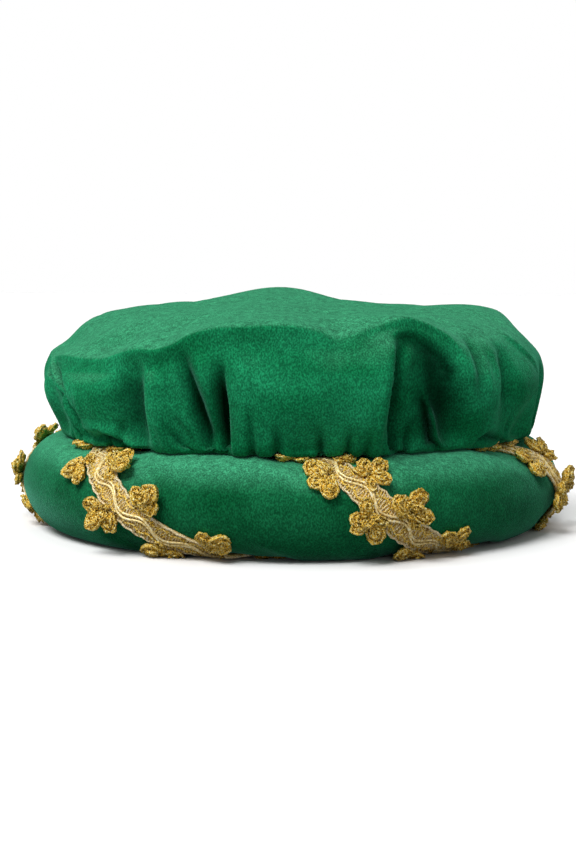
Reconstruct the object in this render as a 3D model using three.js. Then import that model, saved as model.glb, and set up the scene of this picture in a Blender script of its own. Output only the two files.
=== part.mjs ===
// A Renaissance beret: a soft velvet crown gathered down onto a padded velvet roll, and a gold
// flower braid wound round the roll in a spiral. Units are millimetres and +Z is up. The origin
// is in the middle of the hat, on the surface that the roll stands on. The front faces -Y, and
// every azimuth is in degrees from the front, growing towards +X.

import * as THREE from "three";

// The padded roll.
const rollDiameter = 290;
const rollWidth = 56; // across the tube, seen from above
const rollHeight = 48;
const footFlattening = 2; // how much of the tube's round foot is pressed flat where it stands

// The gathered crown.
const crownDiameter = 268;
const crownHeight = 72; // from the roll's crest to the middle of the top
const hemInset = 2; // how far the crown's hem is sewn down inside the roll's crest
const crownWall = 2;
const foldDepth = 11; // the deepest fold
const shoulderSag = 16; // how far the rim of the top sinks where it sags most
const topSwell = 7; // how far the top rises and dips

// The gold braid and its flowers.
const braidWidth = 14;
const braidThickness = 1.5;
const petalReach = 11.5; // from the braid's edge to the tips of the petals
const petalThickness = 1.5;
const petalLift = 0.8; // how far the petals lie above the braid's underside
const petalCurl = 3; // how much higher the tips curl where nothing presses them down
const flowersPerTurn = 16; // they stand along the braid's two edges by turns

// Clearances between the pieces.
const seatGap = 0.35;
const floorGap = 0.2; // from the pressed-in petals to the surface under the hat
const recessMargin = 3; // how much wider the padding is pressed in than the flowers reach
const recessRamp = 4; // beside it, where the padding rises again

// How finely the round shapes are divided.
const crownSteps = 116;
const rollSides = flowersPerTurn;
const bareSteps = 5; // across the bare cloth between two windings of the braid

const radians = THREE.MathUtils.degToRad;
const { smoothstep, euclideanModulo, lerp } = THREE.MathUtils;

// Where the crown's cloth runs, from the middle of the top to the hem. reach is a share of the
// crown's radius, rise a share of its height above the roll, and sag and swell say how strongly
// the rim's sagging and the top's unevenness act there.
const crownProfile = [
  { reach: 0.28, rise: 0.985, sag: 0.0, swell: 1.0 },
  { reach: 0.57, rise: 0.95, sag: 0.2, swell: 0.9 },
  { reach: 0.78, rise: 0.925, sag: 0.65, swell: 0.5 },
  { reach: 0.9, rise: 0.85, sag: 1.0, swell: 0.2 },
  { reach: 0.965, rise: 0.69, sag: 0.9, swell: 0.0 },
  { reach: 1.0, rise: 0.51, sag: 0.55, swell: 0.0 },
  { reach: 1.0, rise: 0.32, sag: 0.25, swell: 0.0 },
  { reach: 0.985, rise: 0.15, sag: 0.1, swell: 0.0 },
  { reach: 0.955, rise: 0.035, sag: 0.0, swell: 0.0 },
];

// How much the rim of the top sags at each azimuth, as a share of shoulderSag.
const crownSags = [
  { azimuth: -90, sag: 0.5 },
  { azimuth: -70, sag: 0.9 },
  { azimuth: -46, sag: 0.95 },
  { azimuth: -32, sag: 0.6 },
  { azimuth: -16, sag: 0.05 },
  { azimuth: -2, sag: 0.08 },
  { azimuth: 9, sag: 0.28 },
  { azimuth: 25, sag: 0.0 },
  { azimuth: 42, sag: 0.55 },
  { azimuth: 64, sag: 0.5 },
  { azimuth: 90, sag: 0.1 },
  { azimuth: 118, sag: 0.25 },
  { azimuth: 145, sag: 0.05 },
  { azimuth: 172, sag: 0.4 },
  { azimuth: 200, sag: 0.1 },
  { azimuth: 232, sag: 0.05 },
  { azimuth: 252, sag: 0.3 },
];

// Rounded swellings and hollows of the top: their place and size as shares of the crown's
// radius, and their height as a share of topSwell.
const crownSwells = [
  { x: -0.08, y: 0.12, size: 0.32, height: 0.85 },
  { x: 0.42, y: 0.1, size: 0.34, height: -0.6 },
  { x: 0.8, y: 0.1, size: 0.35, height: 0.5 },
  { x: -0.42, y: 0.15, size: 0.26, height: -0.65 },
  { x: 0.15, y: -0.62, size: 0.3, height: -0.45 },
  { x: 0.1, y: 0.7, size: 0.3, height: -0.4 },
];

// The folds, which are valleys in the side of the crown. top and hem are the azimuths where a
// fold starts and ends, bow bends it halfway, start and deepest are shares of the way from the
// middle of the top to the hem, depth is a share of foldDepth, width is the half width in
// degrees, and lean makes one side steeper: above 0 it is the side towards a greater azimuth.
const crownFolds = [
  { top: -94, hem: -92, bow: 0, start: 0.5, deepest: 0.85, depth: 0.55, width: 34, lean: 0 },
  { top: -88, hem: -85, bow: 0, start: 0.5, deepest: 0.8, depth: 0.45, width: 8, lean: 0.3 },
  { top: -69, hem: -66, bow: 3, start: 0.5, deepest: 0.82, depth: 0.5, width: 8, lean: -0.3 },
  { top: -52, hem: -51, bow: 0, start: 0.7, deepest: 0.93, depth: 0.45, width: 8, lean: 0.2 },
  { top: -36, hem: -36, bow: 0, start: 0.44, deepest: 0.82, depth: 0.55, width: 8, lean: 0.2 },
  { top: -28, hem: -20, bow: -1, start: 0.44, deepest: 0.8, depth: 0.6, width: 7, lean: -0.2 },
  { top: -13, hem: -14, bow: 0, start: 0.5, deepest: 0.82, depth: 0.7, width: 7, lean: 0.3 },
  { top: 3, hem: 3, bow: 0, start: 0.75, deepest: 0.95, depth: 0.3, width: 8, lean: 0 },
  { top: 29, hem: 25, bow: -4, start: 0.4, deepest: 0.75, depth: 1.0, width: 8, lean: -0.4 },
  { top: 34, hem: 41, bow: -1, start: 0.52, deepest: 0.85, depth: 0.6, width: 7, lean: 0.2 },
  { top: 48, hem: 54, bow: 2, start: 0.42, deepest: 0.72, depth: 0.45, width: 8, lean: 0 },
  { top: 66, hem: 64, bow: 0, start: 0.7, deepest: 0.93, depth: 0.5, width: 8, lean: 0.2 },
  { top: 80, hem: 79, bow: 0, start: 0.5, deepest: 0.85, depth: 0.4, width: 8, lean: 0.3 },
  { top: 98, hem: 95, bow: 2, start: 0.45, deepest: 0.8, depth: 0.6, width: 8, lean: -0.3 },
  { top: 113, hem: 116, bow: 0, start: 0.55, deepest: 0.85, depth: 0.45, width: 8, lean: 0.2 },
  { top: 129, hem: 132, bow: -2, start: 0.42, deepest: 0.78, depth: 0.75, width: 8, lean: 0.3 },
  { top: 146, hem: 146, bow: 0, start: 0.65, deepest: 0.9, depth: 0.4, width: 8, lean: 0 },
  { top: 160, hem: 163, bow: 2, start: 0.45, deepest: 0.8, depth: 0.65, width: 8, lean: -0.3 },
  { top: 178, hem: 177, bow: 0, start: 0.6, deepest: 0.88, depth: 0.45, width: 8, lean: 0.2 },
  { top: 194, hem: 191, bow: -3, start: 0.42, deepest: 0.76, depth: 0.8, width: 8, lean: 0.3 },
  { top: 210, hem: 211, bow: 0, start: 0.65, deepest: 0.9, depth: 0.4, width: 8, lean: 0 },
  { top: 224, hem: 228, bow: 1, start: 0.45, deepest: 0.8, depth: 0.65, width: 8, lean: -0.3 },
  { top: 241, hem: 243, bow: 0, start: 0.55, deepest: 0.85, depth: 0.45, width: 8, lean: 0.3 },
  { top: 256, hem: 258, bow: 2, start: 0.45, deepest: 0.8, depth: 0.55, width: 8, lean: 0.2 },
];
const foldShareAtHem = 0.16; // how much of a fold's depth is left where the cloth is sewn down

// Where the braid crosses the top, the outer side and the foot of the roll on each turn.
const braidTurns = [
  { top: -108, side: -92, foot: -74 },
  { top: -50, side: -32, foot: -10 },
  { top: 6, side: 18, foot: 40 },
  { top: 58, side: 72, foot: 86 },
  { top: 110, side: 122, foot: 135 },
  { top: 160, side: 172, foot: 185 },
  { top: 207, side: 221, foot: 234 },
];

// The outline of a flower's three petals, about the middle of the flower's foot: turn is in
// degrees from straight out, and reach is a share of the petals' length.
const petalOutline = [
  { turn: -78, reach: 0.75 },
  { turn: -50, reach: 1.0 },
  { turn: -28, reach: 0.6 },
  { turn: -11, reach: 1.0 },
  { turn: 11, reach: 1.0 },
  { turn: 28, reach: 0.6 },
  { turn: 50, reach: 1.0 },
  { turn: 78, reach: 0.75 },
];
const flowerHeart = 0.3; // where the three petals meet, as a share of their length

const rollCentre = (rollDiameter - rollWidth) / 2; // radius of the tube's middle line
const rollHalfWidth = rollWidth / 2;
const rollHalfHeight = (rollHeight + footFlattening) / 2;
const hemRadius = rollCentre - hemInset;
const recessDepth = seatGap + petalLift + petalThickness + floorGap;

// A point from an azimuth in degrees, a radius and a height.
function around(azimuth, radius, height) {
  const angle = radians(azimuth);
  return new THREE.Vector3(radius * Math.sin(angle), -radius * Math.cos(angle), height);
}

// The shortest way from one azimuth to another, in degrees.
function turnBetween(from, to) {
  return euclideanModulo(to - from + 180, 360) - 180;
}

// How strongly the braid is pressed into the padding at a tube angle in degrees, which is 0 on
// the outer side and 90 on top: fully under the crown, against the head and under the foot.
function pressAt(tubeAngle) {
  const fromOuterSide = turnBetween(0, tubeAngle);
  if (fromOuterSide < 0) return smoothstep(-fromOuterSide, 5, 55);
  return smoothstep(fromOuterSide, 15, 70);
}

// The tube's section: a flattened ellipse whose foot is pressed flat, as corners starting on
// top and going round by the outer side.
const section = Array.from({ length: rollSides }, (_, i) => {
  const tubeAngle = 90 - (360 * i) / rollSides;
  const c = Math.cos(radians(tubeAngle));
  const s = Math.sin(radians(tubeAngle));
  const up = Math.max(0, rollHalfHeight * (1 + s) - footFlattening);
  const normal = new THREE.Vector2(c / rollHalfWidth, s / rollHalfHeight).normalize();
  if (up === 0) normal.set(0, -1);
  return { radius: rollCentre + rollHalfWidth * c, up, normal, press: pressAt(tubeAngle) };
});
const sectionLength = section.reduce((length, corner, i) => {
  const next = section[(i + 1) % rollSides];
  return length + Math.hypot(next.radius - corner.radius, next.up - corner.up);
}, 0);

// The section's radius, height, outward normal and press after a number of turns round the
// tube, starting on top.
function sectionAt(turns) {
  const at = euclideanModulo(turns, 1) * rollSides;
  const i = Math.floor(at);
  const a = section[i % rollSides];
  const b = section[(i + 1) % rollSides];
  const share = at - i;
  return {
    radius: lerp(a.radius, b.radius, share),
    up: lerp(a.up, b.up, share),
    normal: a.normal.clone().lerp(b.normal, share).normalize(),
    press: lerp(a.press, b.press, share),
  };
}

// The height of the roll's top at a radius near the crest, for what sits on it.
function rollTopAt(radius) {
  const share = (radius - rollCentre) / rollHalfWidth;
  return rollHalfHeight * (1 + Math.sqrt(1 - share * share)) - footFlattening;
}

// The braid's azimuth after a number of turns round the tube, starting on top. It runs smoothly
// through the table's places, and crosses the inside halfway between foot and top.
function braidAzimuth(turns) {
  const knot = (index) => {
    const turn = Math.floor(index / 4);
    const wraps = Math.floor(turn / braidTurns.length);
    const row = braidTurns[euclideanModulo(turn, braidTurns.length)];
    const part = euclideanModulo(index, 4);
    if (part === 3) return (knot(index - 1) + knot(index + 1)) / 2;
    return [row.top, row.side, row.foot][part] + 360 * wraps;
  };
  const quarters = turns * 4;
  const i = Math.floor(quarters);
  const t = quarters - i;
  const [before, a, b, after] = [knot(i - 1), knot(i), knot(i + 1), knot(i + 2)];
  const t2 = t * t;
  const t3 = t2 * t;
  return (
    a * (2 * t3 - 3 * t2 + 1) +
    ((b - before) / 2) * (t3 - 2 * t2 + t) +
    b * (3 * t2 - 2 * t3) +
    ((after - a) / 2) * (t3 - t2)
  );
}

// How far the braid moves sideways along the roll in one turn round the tube.
function braidAdvance(turns, radius) {
  const step = 0.01;
  const moved = braidAzimuth(turns + step) - braidAzimuth(turns - step);
  return (radians(moved) / (2 * step)) * radius;
}

// How much longer the braid's way round the tube is than the tube's own section, because the
// braid winds at a slant.
function braidSlant(turns, radius) {
  return Math.hypot(braidAdvance(turns, radius), sectionLength) / sectionLength;
}

// A point over the roll: turns round the tube, an azimuth, and a height above the padding where
// the braid has pressed it in.
function pointOverRoll(turns, azimuth, height) {
  const { radius, up, normal, press } = sectionAt(turns);
  const lift = height - recessDepth * press;
  return around(azimuth, radius + normal.x * lift, up + normal.y * lift);
}

// The faces of a grid of rings, where ring i joins ring i + 1 by faces that are split along their
// shorter diagonal. A ring closes on itself, or on the ring that lies some windings further on.
// Faces that isOpen names by ring and place are left out.
function joinRings(rings, joins, { windings = 0, isOpen = () => false } = {}) {
  const count = rings[0].length;
  const points = rings.flat();
  const faces = [];
  const number = (i, j) => {
    const ring = j < count ? i : i + windings;
    return (ring % rings.length) * count + (j % count);
  };
  for (let i = 0; i < joins; i++) {
    for (let j = 0; j < count; j++) {
      if (isOpen(i, j)) continue;
      const [a, b] = [number(i, j), number(i, j + 1)];
      const [c, d] = [number(i + 1, j + 1), number(i + 1, j)];
      const rising = points[b].distanceTo(points[d]) <= points[a].distanceTo(points[c]);
      faces.push(...(rising ? [a, d, b, b, d, c] : [a, d, c, a, c, b]));
    }
  }
  return { points, faces };
}

// Faces from a middle point to each side of a closed outline, all given by their numbers.
function fan(middle, outline) {
  return outline.flatMap((point, i) => [middle, point, outline[(i + 1) % outline.length]]);
}

function geometryOf({ points, faces }) {
  return new THREE.BufferGeometry().setFromPoints(points).setIndex(faces);
}

// A named mesh in its own colour and finish.
function piece(name, geometry, finish) {
  const material = new THREE.MeshStandardMaterial(finish);
  const mesh = new THREE.Mesh(geometry.toNonIndexed(), material);
  mesh.name = name;
  mesh.geometry.computeVertexNormals();
  return mesh;
}

// The azimuths of the roll's points beside one place of the braid, up to its next winding, each
// with the share of the braid's pressing-in that is felt there.
function rollColumns(turns) {
  const { radius } = sectionAt(turns);
  const asTurn = THREE.MathUtils.radToDeg(braidSlant(turns, radius) / radius);
  const edge = (braidWidth / 2) * asTurn;
  const covered = edge + (petalReach + recessMargin) * asTurn;
  const bare = covered + recessRamp * asTurn;
  const [here, next] = [braidAzimuth(turns), braidAzimuth(turns + 1)];
  const columns = [0, edge, covered].map((away) => ({ azimuth: here + away, felt: 1 }));
  for (let i = 0; i <= bareSteps; i++) {
    columns.push({ azimuth: lerp(here + bare, next - bare, i / bareSteps), felt: 0 });
  }
  columns.push(...[covered, edge].map((away) => ({ azimuth: next - away, felt: 1 })));
  return columns;
}

// The padded roll, pressed in where the braid is held down. Its rings run from one winding of
// the braid to the next, whose own ring carries on there, so that together they close.
function rollGeometry() {
  const rings = [];
  for (let i = 0; i < braidTurns.length * rollSides; i++) {
    const turns = i / rollSides;
    const ring = rollColumns(turns).map(({ azimuth, felt }) => {
      const { press } = sectionAt(turns);
      return pointOverRoll(turns, azimuth, recessDepth * press * (1 - felt));
    });
    rings.push(ring);
  }
  return geometryOf(joinRings(rings, rings.length, { windings: rollSides }));
}

// A value read from a table of azimuths, running smoothly from row to row and round again.
function roundTable(rows, key, azimuth) {
  const from = rows[0].azimuth;
  const at = from + euclideanModulo(azimuth - from, 360);
  let i = rows.length - 1;
  while (rows[i].azimuth > at) i--;
  const a = rows[i];
  const b = rows[(i + 1) % rows.length];
  const span = euclideanModulo(b.azimuth - a.azimuth, 360);
  return lerp(a[key], b[key], smoothstep((at - a.azimuth) / span, 0, 1));
}

// How far the folds draw the cloth inwards at an azimuth and a share of the way to the hem.
function foldAt(azimuth, share) {
  let depth = 0;
  for (const fold of crownFolds) {
    if (share <= fold.start) continue;
    const run = (share - fold.start) / (1 - fold.start);
    const middle = lerp(fold.top, fold.hem, run) + fold.bow * Math.sin(Math.PI * run);
    const away = turnBetween(middle, azimuth);
    const width = fold.width * (away > 0 ? 1 - fold.lean : 1 + fold.lean);
    if (Math.abs(away) >= width) continue;
    const opening = smoothstep(share, fold.start, fold.deepest);
    const closing = lerp(1, foldShareAtHem, smoothstep(share, Math.max(fold.deepest, 0.86), 1));
    depth += fold.depth * opening * closing * (0.5 + 0.5 * Math.cos((Math.PI * away) / width));
  }
  return foldDepth * depth;
}

// How far the top rises or dips at a place.
function swellAt(x, y) {
  const radius = crownDiameter / 2;
  let height = 0;
  for (const swell of crownSwells) {
    const away = Math.hypot(x / radius - swell.x, y / radius - swell.y) / swell.size;
    height += swell.height * Math.exp(-away * away);
  }
  return topSwell * height;
}

// A point of the crown's outer face on a profile row, at an azimuth.
function crownPoint(azimuth, index) {
  const row = crownProfile[index];
  const share = (index + 1) / crownProfile.length;
  const radius = row.reach * (crownDiameter / 2) - foldAt(azimuth, share);
  const flat = around(azimuth, radius, 0);
  const sag = shoulderSag * row.sag * roundTable(crownSags, "sag", azimuth);
  const swell = row.swell * swellAt(flat.x, flat.y);
  return flat.setZ(rollHeight + row.rise * crownHeight - sag + swell);
}

// The crown: a thin wall of cloth from the middle of the top, out over the rim and in to the
// hem, which follows the roll's top a seat gap above it.
function crownGeometry() {
  const azimuths = Array.from({ length: crownSteps }, (_, j) => (360 * j) / crownSteps);
  const outer = crownProfile.map((row, i) => azimuths.map((azimuth) => crownPoint(azimuth, i)));
  const hem = azimuths.map((azimuth) => {
    const radius = hemRadius - foldAt(azimuth, 1);
    return around(azimuth, radius, rollTopAt(radius) + seatGap);
  });
  outer.push(hem);
  const pole = new THREE.Vector3(0, 0, rollHeight + crownHeight + swellAt(0, 0));
  const inner = outer.map((ring, i) => ring.map((point, j) => insidePoint(outer, pole, i, j)));
  const innerPole = pole.clone().setZ(pole.z - crownWall);
  const rings = [...outer, ...inner.reverse()];
  const surface = joinRings(rings, rings.length - 1);
  const firstRing = hem.map((point, j) => j);
  const lastRing = firstRing.map((j) => surface.points.length - 1 - j);
  const outerEnd = surface.points.push(pole, innerPole) - 2;
  surface.faces.push(...fan(outerEnd, firstRing), ...fan(outerEnd + 1, lastRing));
  return geometryOf(surface);
}

// The point one wall thickness inside a ring's point, square to the cloth there.
function insidePoint(outer, pole, i, j) {
  const ring = outer[i];
  const before = ring[(j + crownSteps - 1) % crownSteps];
  const after = ring[(j + 1) % crownSteps];
  const above = i > 0 ? outer[i - 1][j] : pole;
  const below = i + 1 < outer.length ? outer[i + 1][j] : ring[j];
  const down = below.clone().sub(above);
  const inwards = after.clone().sub(before).cross(down).normalize();
  return ring[j].clone().addScaledVector(inwards, crownWall);
}

// The braid's rings, one at each corner of the roll's section: three points of its underside and
// three of its upper side, from the edge towards a greater azimuth and back again.
function braidRings() {
  const under = [0.5, 0, -0.5].map((across) => ({ across, height: seatGap }));
  const over = [-0.5, 0, 0.5].map((across) => ({ across, height: seatGap + braidThickness }));
  return Array.from({ length: braidTurns.length * rollSides }, (_, i) => {
    const turns = i / rollSides;
    const { radius } = sectionAt(turns);
    const width = THREE.MathUtils.radToDeg((braidWidth * braidSlant(turns, radius)) / radius);
    const middle = braidAzimuth(turns);
    return [...under, ...over].map(({ across, height }) =>
      pointOverRoll(turns, middle + across * width, height),
    );
  });
}

// The points of one side of a flower beside the braid: its heart and the outline of its petals.
// side is 1 at the edge towards a greater azimuth and -1 at the other.
function petalPoints(turns, side, height) {
  const { radius } = sectionAt(turns);
  const advance = braidAdvance(turns, radius);
  const length = Math.hypot(advance, sectionLength);
  return [{ turn: 0, reach: flowerHeart }, ...petalOutline].map(({ turn, reach }) => {
    const along = petalReach * reach * Math.sin(radians(turn));
    const out = petalReach * reach * Math.cos(radians(turn));
    const across = side * (braidWidth / 2 + out);
    const onTube = turns + (along * sectionLength - across * advance) / length / sectionLength;
    const onRoll = (along * advance + across * sectionLength) / length / radius;
    const curl = petalCurl * (1 - sectionAt(onTube).press) * (out / petalReach);
    const azimuth = braidAzimuth(turns) + THREE.MathUtils.radToDeg(onRoll);
    return pointOverRoll(onTube, azimuth, seatGap + height + curl);
  });
}

// The braid with its flowers, as one closed surface. Each flower takes the place of the braid's
// edge between two of its rings, on the two edges by turns.
function trimGeometry() {
  const rings = braidRings();
  const edge = (i) => (i % 2 ? { side: -1, under: 2, over: 3 } : { side: 1, under: 0, over: 5 });
  const isOpen = (i, j) => j === (i % 2 ? 2 : 5);
  const { points, faces } = joinRings(rings, rings.length, { isOpen });
  const width = rings[0].length;
  rings.forEach((ring, i) => {
    const { side, under, over } = edge(i);
    const next = ((i + 1) % rings.length) * width;
    const outlineOf = (start, height) => {
      const petals = petalPoints((i + 0.5) / rollSides, side, height);
      const heart = points.push(...petals) - petals.length;
      const outline = [i * width + start, ...petalOutline.map((row, n) => heart + 1 + n)];
      return { heart, outline: [...outline, next + start] };
    };
    const lower = outlineOf(under, petalLift);
    const upper = outlineOf(over, petalLift + petalThickness);
    const flower = [...fan(upper.heart, upper.outline)];
    flower.push(...fan(lower.heart, lower.outline.toReversed()));
    for (let n = 1; n < lower.outline.length; n++) {
      const [a, b] = [lower.outline[n - 1], lower.outline[n]];
      const [c, d] = [upper.outline[n], upper.outline[n - 1]];
      flower.push(a, b, c, a, c, d);
    }
    faces.push(...(side < 0 ? flower : flower.reverse()));
  });
  return geometryOf({ points, faces });
}

const velvet = { color: 0x0f7a48, roughness: 0.9, metalness: 0 };
const gold = { color: 0xb8862c, roughness: 0.4, metalness: 0.8 };

const beret = new THREE.Group();
beret.add(piece("roll", rollGeometry(), velvet));
beret.add(piece("crown", crownGeometry(), velvet));
beret.add(piece("flower_braid", trimGeometry(), gold));

export default beret;
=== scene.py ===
# %% [markdown]
# # A Renaissance beret
# The hat is a soft velvet crown, gathered down onto a padded velvet roll, with a gold flower
# braid wound round the roll. The solid model gives the sizes and the places of these three
# pieces. This lesson gives each of them its cloth, its thread and its light. Lengths are in
# millimetres until a mesh is made, azimuths are in degrees from the front and grow towards +X.

# %% Load the frame
import math

import bpy
import numpy as np
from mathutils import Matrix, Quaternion, Vector


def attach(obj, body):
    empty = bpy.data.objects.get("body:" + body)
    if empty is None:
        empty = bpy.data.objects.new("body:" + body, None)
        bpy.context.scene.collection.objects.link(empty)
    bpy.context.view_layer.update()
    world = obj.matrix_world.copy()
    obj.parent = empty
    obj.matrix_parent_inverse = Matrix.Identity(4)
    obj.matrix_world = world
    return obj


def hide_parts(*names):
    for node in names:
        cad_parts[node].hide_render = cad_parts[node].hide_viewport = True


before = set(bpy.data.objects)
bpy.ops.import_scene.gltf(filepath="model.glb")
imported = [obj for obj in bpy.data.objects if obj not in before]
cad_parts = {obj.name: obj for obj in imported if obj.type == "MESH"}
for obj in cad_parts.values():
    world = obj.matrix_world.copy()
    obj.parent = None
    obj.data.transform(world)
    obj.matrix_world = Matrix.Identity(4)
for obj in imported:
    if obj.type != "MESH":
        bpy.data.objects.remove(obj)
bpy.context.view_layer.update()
print("the solid model's nodes:", sorted(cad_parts))

# %% [markdown]
# ## Camera
# The camera stands low in front of the hat, where the top of the crown is seen almost edge on.
# The photographed hat lies a little below the middle of its picture. A lens shift does that
# without tilting the camera, so that upright folds stay upright.

# %% Camera
MM = 0.001
PHOTO_WIDTH, PHOTO_HEIGHT = 576, 864
camera_distance = 0.8
camera_elevation = 7.54
camera_roll = 0.3
aim = Vector((0, 0, 0.024))
aim_pixel = (290.9, 473.3)
lens_in_pixels = 1467.3

camera = bpy.data.objects.new("camera", bpy.data.cameras.new("camera"))
bpy.context.scene.collection.objects.link(camera)
bpy.context.scene.camera = camera
tilt = math.radians(camera_elevation)
back = Vector((0, -math.cos(tilt), math.sin(tilt)))
camera.location = aim + back * camera_distance
camera.rotation_mode = "QUATERNION"
upright = back.to_track_quat("Z", "Y")
camera.rotation_quaternion = upright @ Quaternion((0, 0, 1), math.radians(camera_roll))
camera.data.sensor_width = 36
camera.data.lens = lens_in_pixels * camera.data.sensor_width / PHOTO_HEIGHT
camera.data.shift_x = (PHOTO_WIDTH / 2 - aim_pixel[0]) / PHOTO_HEIGHT
camera.data.shift_y = (aim_pixel[1] - PHOTO_HEIGHT / 2) / PHOTO_HEIGHT
print("lens %.1f mm, camera at" % camera.data.lens, tuple(round(x, 3) for x in camera.location))

# %% [markdown]
# ## Node helpers
# Each finish is a small node tree. These helpers add one node with its values, so that a tree
# reads as a list of what it does.


# %% Node helpers
def give(tree, socket, value):
    """Sets a socket to a value, or links it where the value is another node's output."""
    if isinstance(value, bpy.types.NodeSocket):
        tree.links.new(value, socket)
    else:
        socket.default_value = value


def add_node(tree, kind, values=None, **settings):
    node = tree.nodes.new(kind)
    for name, value in settings.items():
        setattr(node, name, value)
    for socket_name, value in (values or {}).items():
        give(tree, node.inputs[socket_name], value)
    return node


def new_material(name):
    material = bpy.data.materials.new(name)
    material.use_nodes = True
    tree = material.node_tree
    return material, tree, tree.nodes["Principled BSDF"]


def maths(tree, operation, *values, clamp=False):
    return add_node(
        tree, "ShaderNodeMath", dict(enumerate(values)), operation=operation, use_clamp=clamp
    ).outputs[0]


# %% [markdown]
# ## Studio
# The hat was photographed on white, under a large soft light from above, in front and to the
# left. A broad sun gives that light evenly over the whole floor, a weaker one lights the top
# from behind, and a softbox lights the left side. A weak pale world fills the shadows. The
# world and the floor look white to the camera but throw less light on the hat, as a table with
# dark cards round it does. Without that the folds would be washed out.

# %% Studio
ambient = 0.3


def seen_by_camera(tree, to_camera, to_hat):
    """A brightness that differs between what the camera sees and what lights the hat."""
    seen = tree.nodes.new("ShaderNodeLightPath").outputs["Is Camera Ray"]
    return maths(tree, "MULTIPLY_ADD", seen, to_camera - to_hat, to_hat)


world = bpy.data.worlds.new("studio")
bpy.context.scene.world = world
world.use_nodes = True
tree = world.node_tree
background = tree.nodes["Background"]
background.inputs["Color"].default_value = (1, 1, 1, 1)
tree.links.new(seen_by_camera(tree, 1, ambient), background.inputs["Strength"])
bpy.context.scene.view_settings.view_transform = "Standard"


def lamp(name, kind, azimuth, height_angle, distance, energy, size):
    """A lamp that looks at the hat. size is a sun's angle in degrees, or a softbox's width."""
    light = bpy.data.lights.new(name, kind)
    light.energy = energy
    if kind == "SUN":
        light.angle = math.radians(size)
    else:
        light.shape, light.size = "SQUARE", size
    a, e = math.radians(azimuth), math.radians(height_angle)
    way = Vector((math.sin(a) * math.cos(e), -math.cos(a) * math.cos(e), math.sin(e)))
    item = bpy.data.objects.new(name, light)
    item.location = aim + way * distance
    item.rotation_mode = "QUATERNION"
    item.rotation_quaternion = way.to_track_quat("Z", "Y")
    bpy.context.scene.collection.objects.link(item)


# name, kind, azimuth, height angle, distance, energy, size
lamp("front_light", "SUN", -32, 55, 2, 2.35, 30)
lamp("back_light", "SUN", 160, 62, 2, 0.7, 40)
lamp("left_softbox", "AREA", -75, 50, 1.4, 5.5, 0.7)

# %% [markdown]
# ## Floor
# A plain pale surface that catches the hat's soft shadow.

# %% Floor
floor_white, floor_bounce = 0.96, 0.38
bpy.ops.mesh.primitive_circle_add(vertices=64, radius=12, fill_type="NGON")
floor = bpy.context.object
floor.name = "floor"
floor_paint, tree, shader = new_material("pale_floor")
tree.links.new(seen_by_camera(tree, floor_white, floor_bounce), shader.inputs["Base Color"])
shader.inputs["Roughness"].default_value = 1
shader.inputs["Specular IOR Level"].default_value = 0
floor.data.materials.append(floor_paint)
print("floor painted")

# %% [markdown]
# ## Groups and colour trees
# A finish that more than one material uses is a node group with named inputs, and each material
# gives it its own colours and sizes. Its colours come from noise over the piece's own
# coordinates, which needs no image and shows no seam.

# %% Groups with named sockets
SOCKETS = {float: "Float", int: "Int", tuple: "Color"}


def new_group(name, kind, inputs, outputs):
    """A node group with named sockets. An input is given by its value, or by its kind alone."""
    group = bpy.data.node_groups.new(name, kind)
    for key, value in inputs.items():
        socket = SOCKETS.get(type(value), value)
        item = group.interface.new_socket(key, in_out="INPUT", socket_type="NodeSocket" + socket)
        if socket != value:
            item.default_value = value
    for key, socket in outputs.items():
        group.interface.new_socket(key, in_out="OUTPUT", socket_type="NodeSocket" + socket)
    given = group.nodes.new("NodeGroupInput").outputs
    result = group.nodes.new("NodeGroupOutput").inputs
    return group, given, result


# %% Steps of a colour tree
def typed_node(tree, kind, data_type, values, result):
    """The output of a node whose sockets go by its data type, found by their identifiers."""
    node = tree.nodes.new(kind)
    node.data_type = data_type
    sockets = {socket.identifier: socket for socket in node.inputs}
    for identifier, value in values.items():
        give(tree, sockets[identifier], value)
    return next(socket for socket in node.outputs if socket.identifier == result)


def mix_colours(tree, share, first, second):
    """The colour that goes from the first to the second as the share goes from 0 to 1."""
    values = {"Factor_Float": share, "A_Color": first, "B_Color": second}
    return typed_node(tree, "ShaderNodeMix", "RGBA", values, "Result_Color")


def scaled(tree, vector, factor):
    return add_node(
        tree, "ShaderNodeVectorMath", {0: vector, "Scale": factor}, operation="SCALE"
    ).outputs[0]


def noise(tree, place, scale, detail, roughness=0.5):
    return add_node(
        tree, "ShaderNodeTexNoise",
        {"Vector": place, "Scale": scale, "Detail": detail, "Roughness": roughness},
    ).outputs


def ranged(tree, value, low, high, to_low=0.0, to_high=1.0, **settings):
    """A value carried from the range low to high into the range to_low to to_high."""
    values = {"Value": value, "From Min": low, "From Max": high, "To Min": to_low, "To Max": to_high}
    return add_node(tree, "ShaderNodeMapRange", values, **settings).outputs[0]
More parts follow.
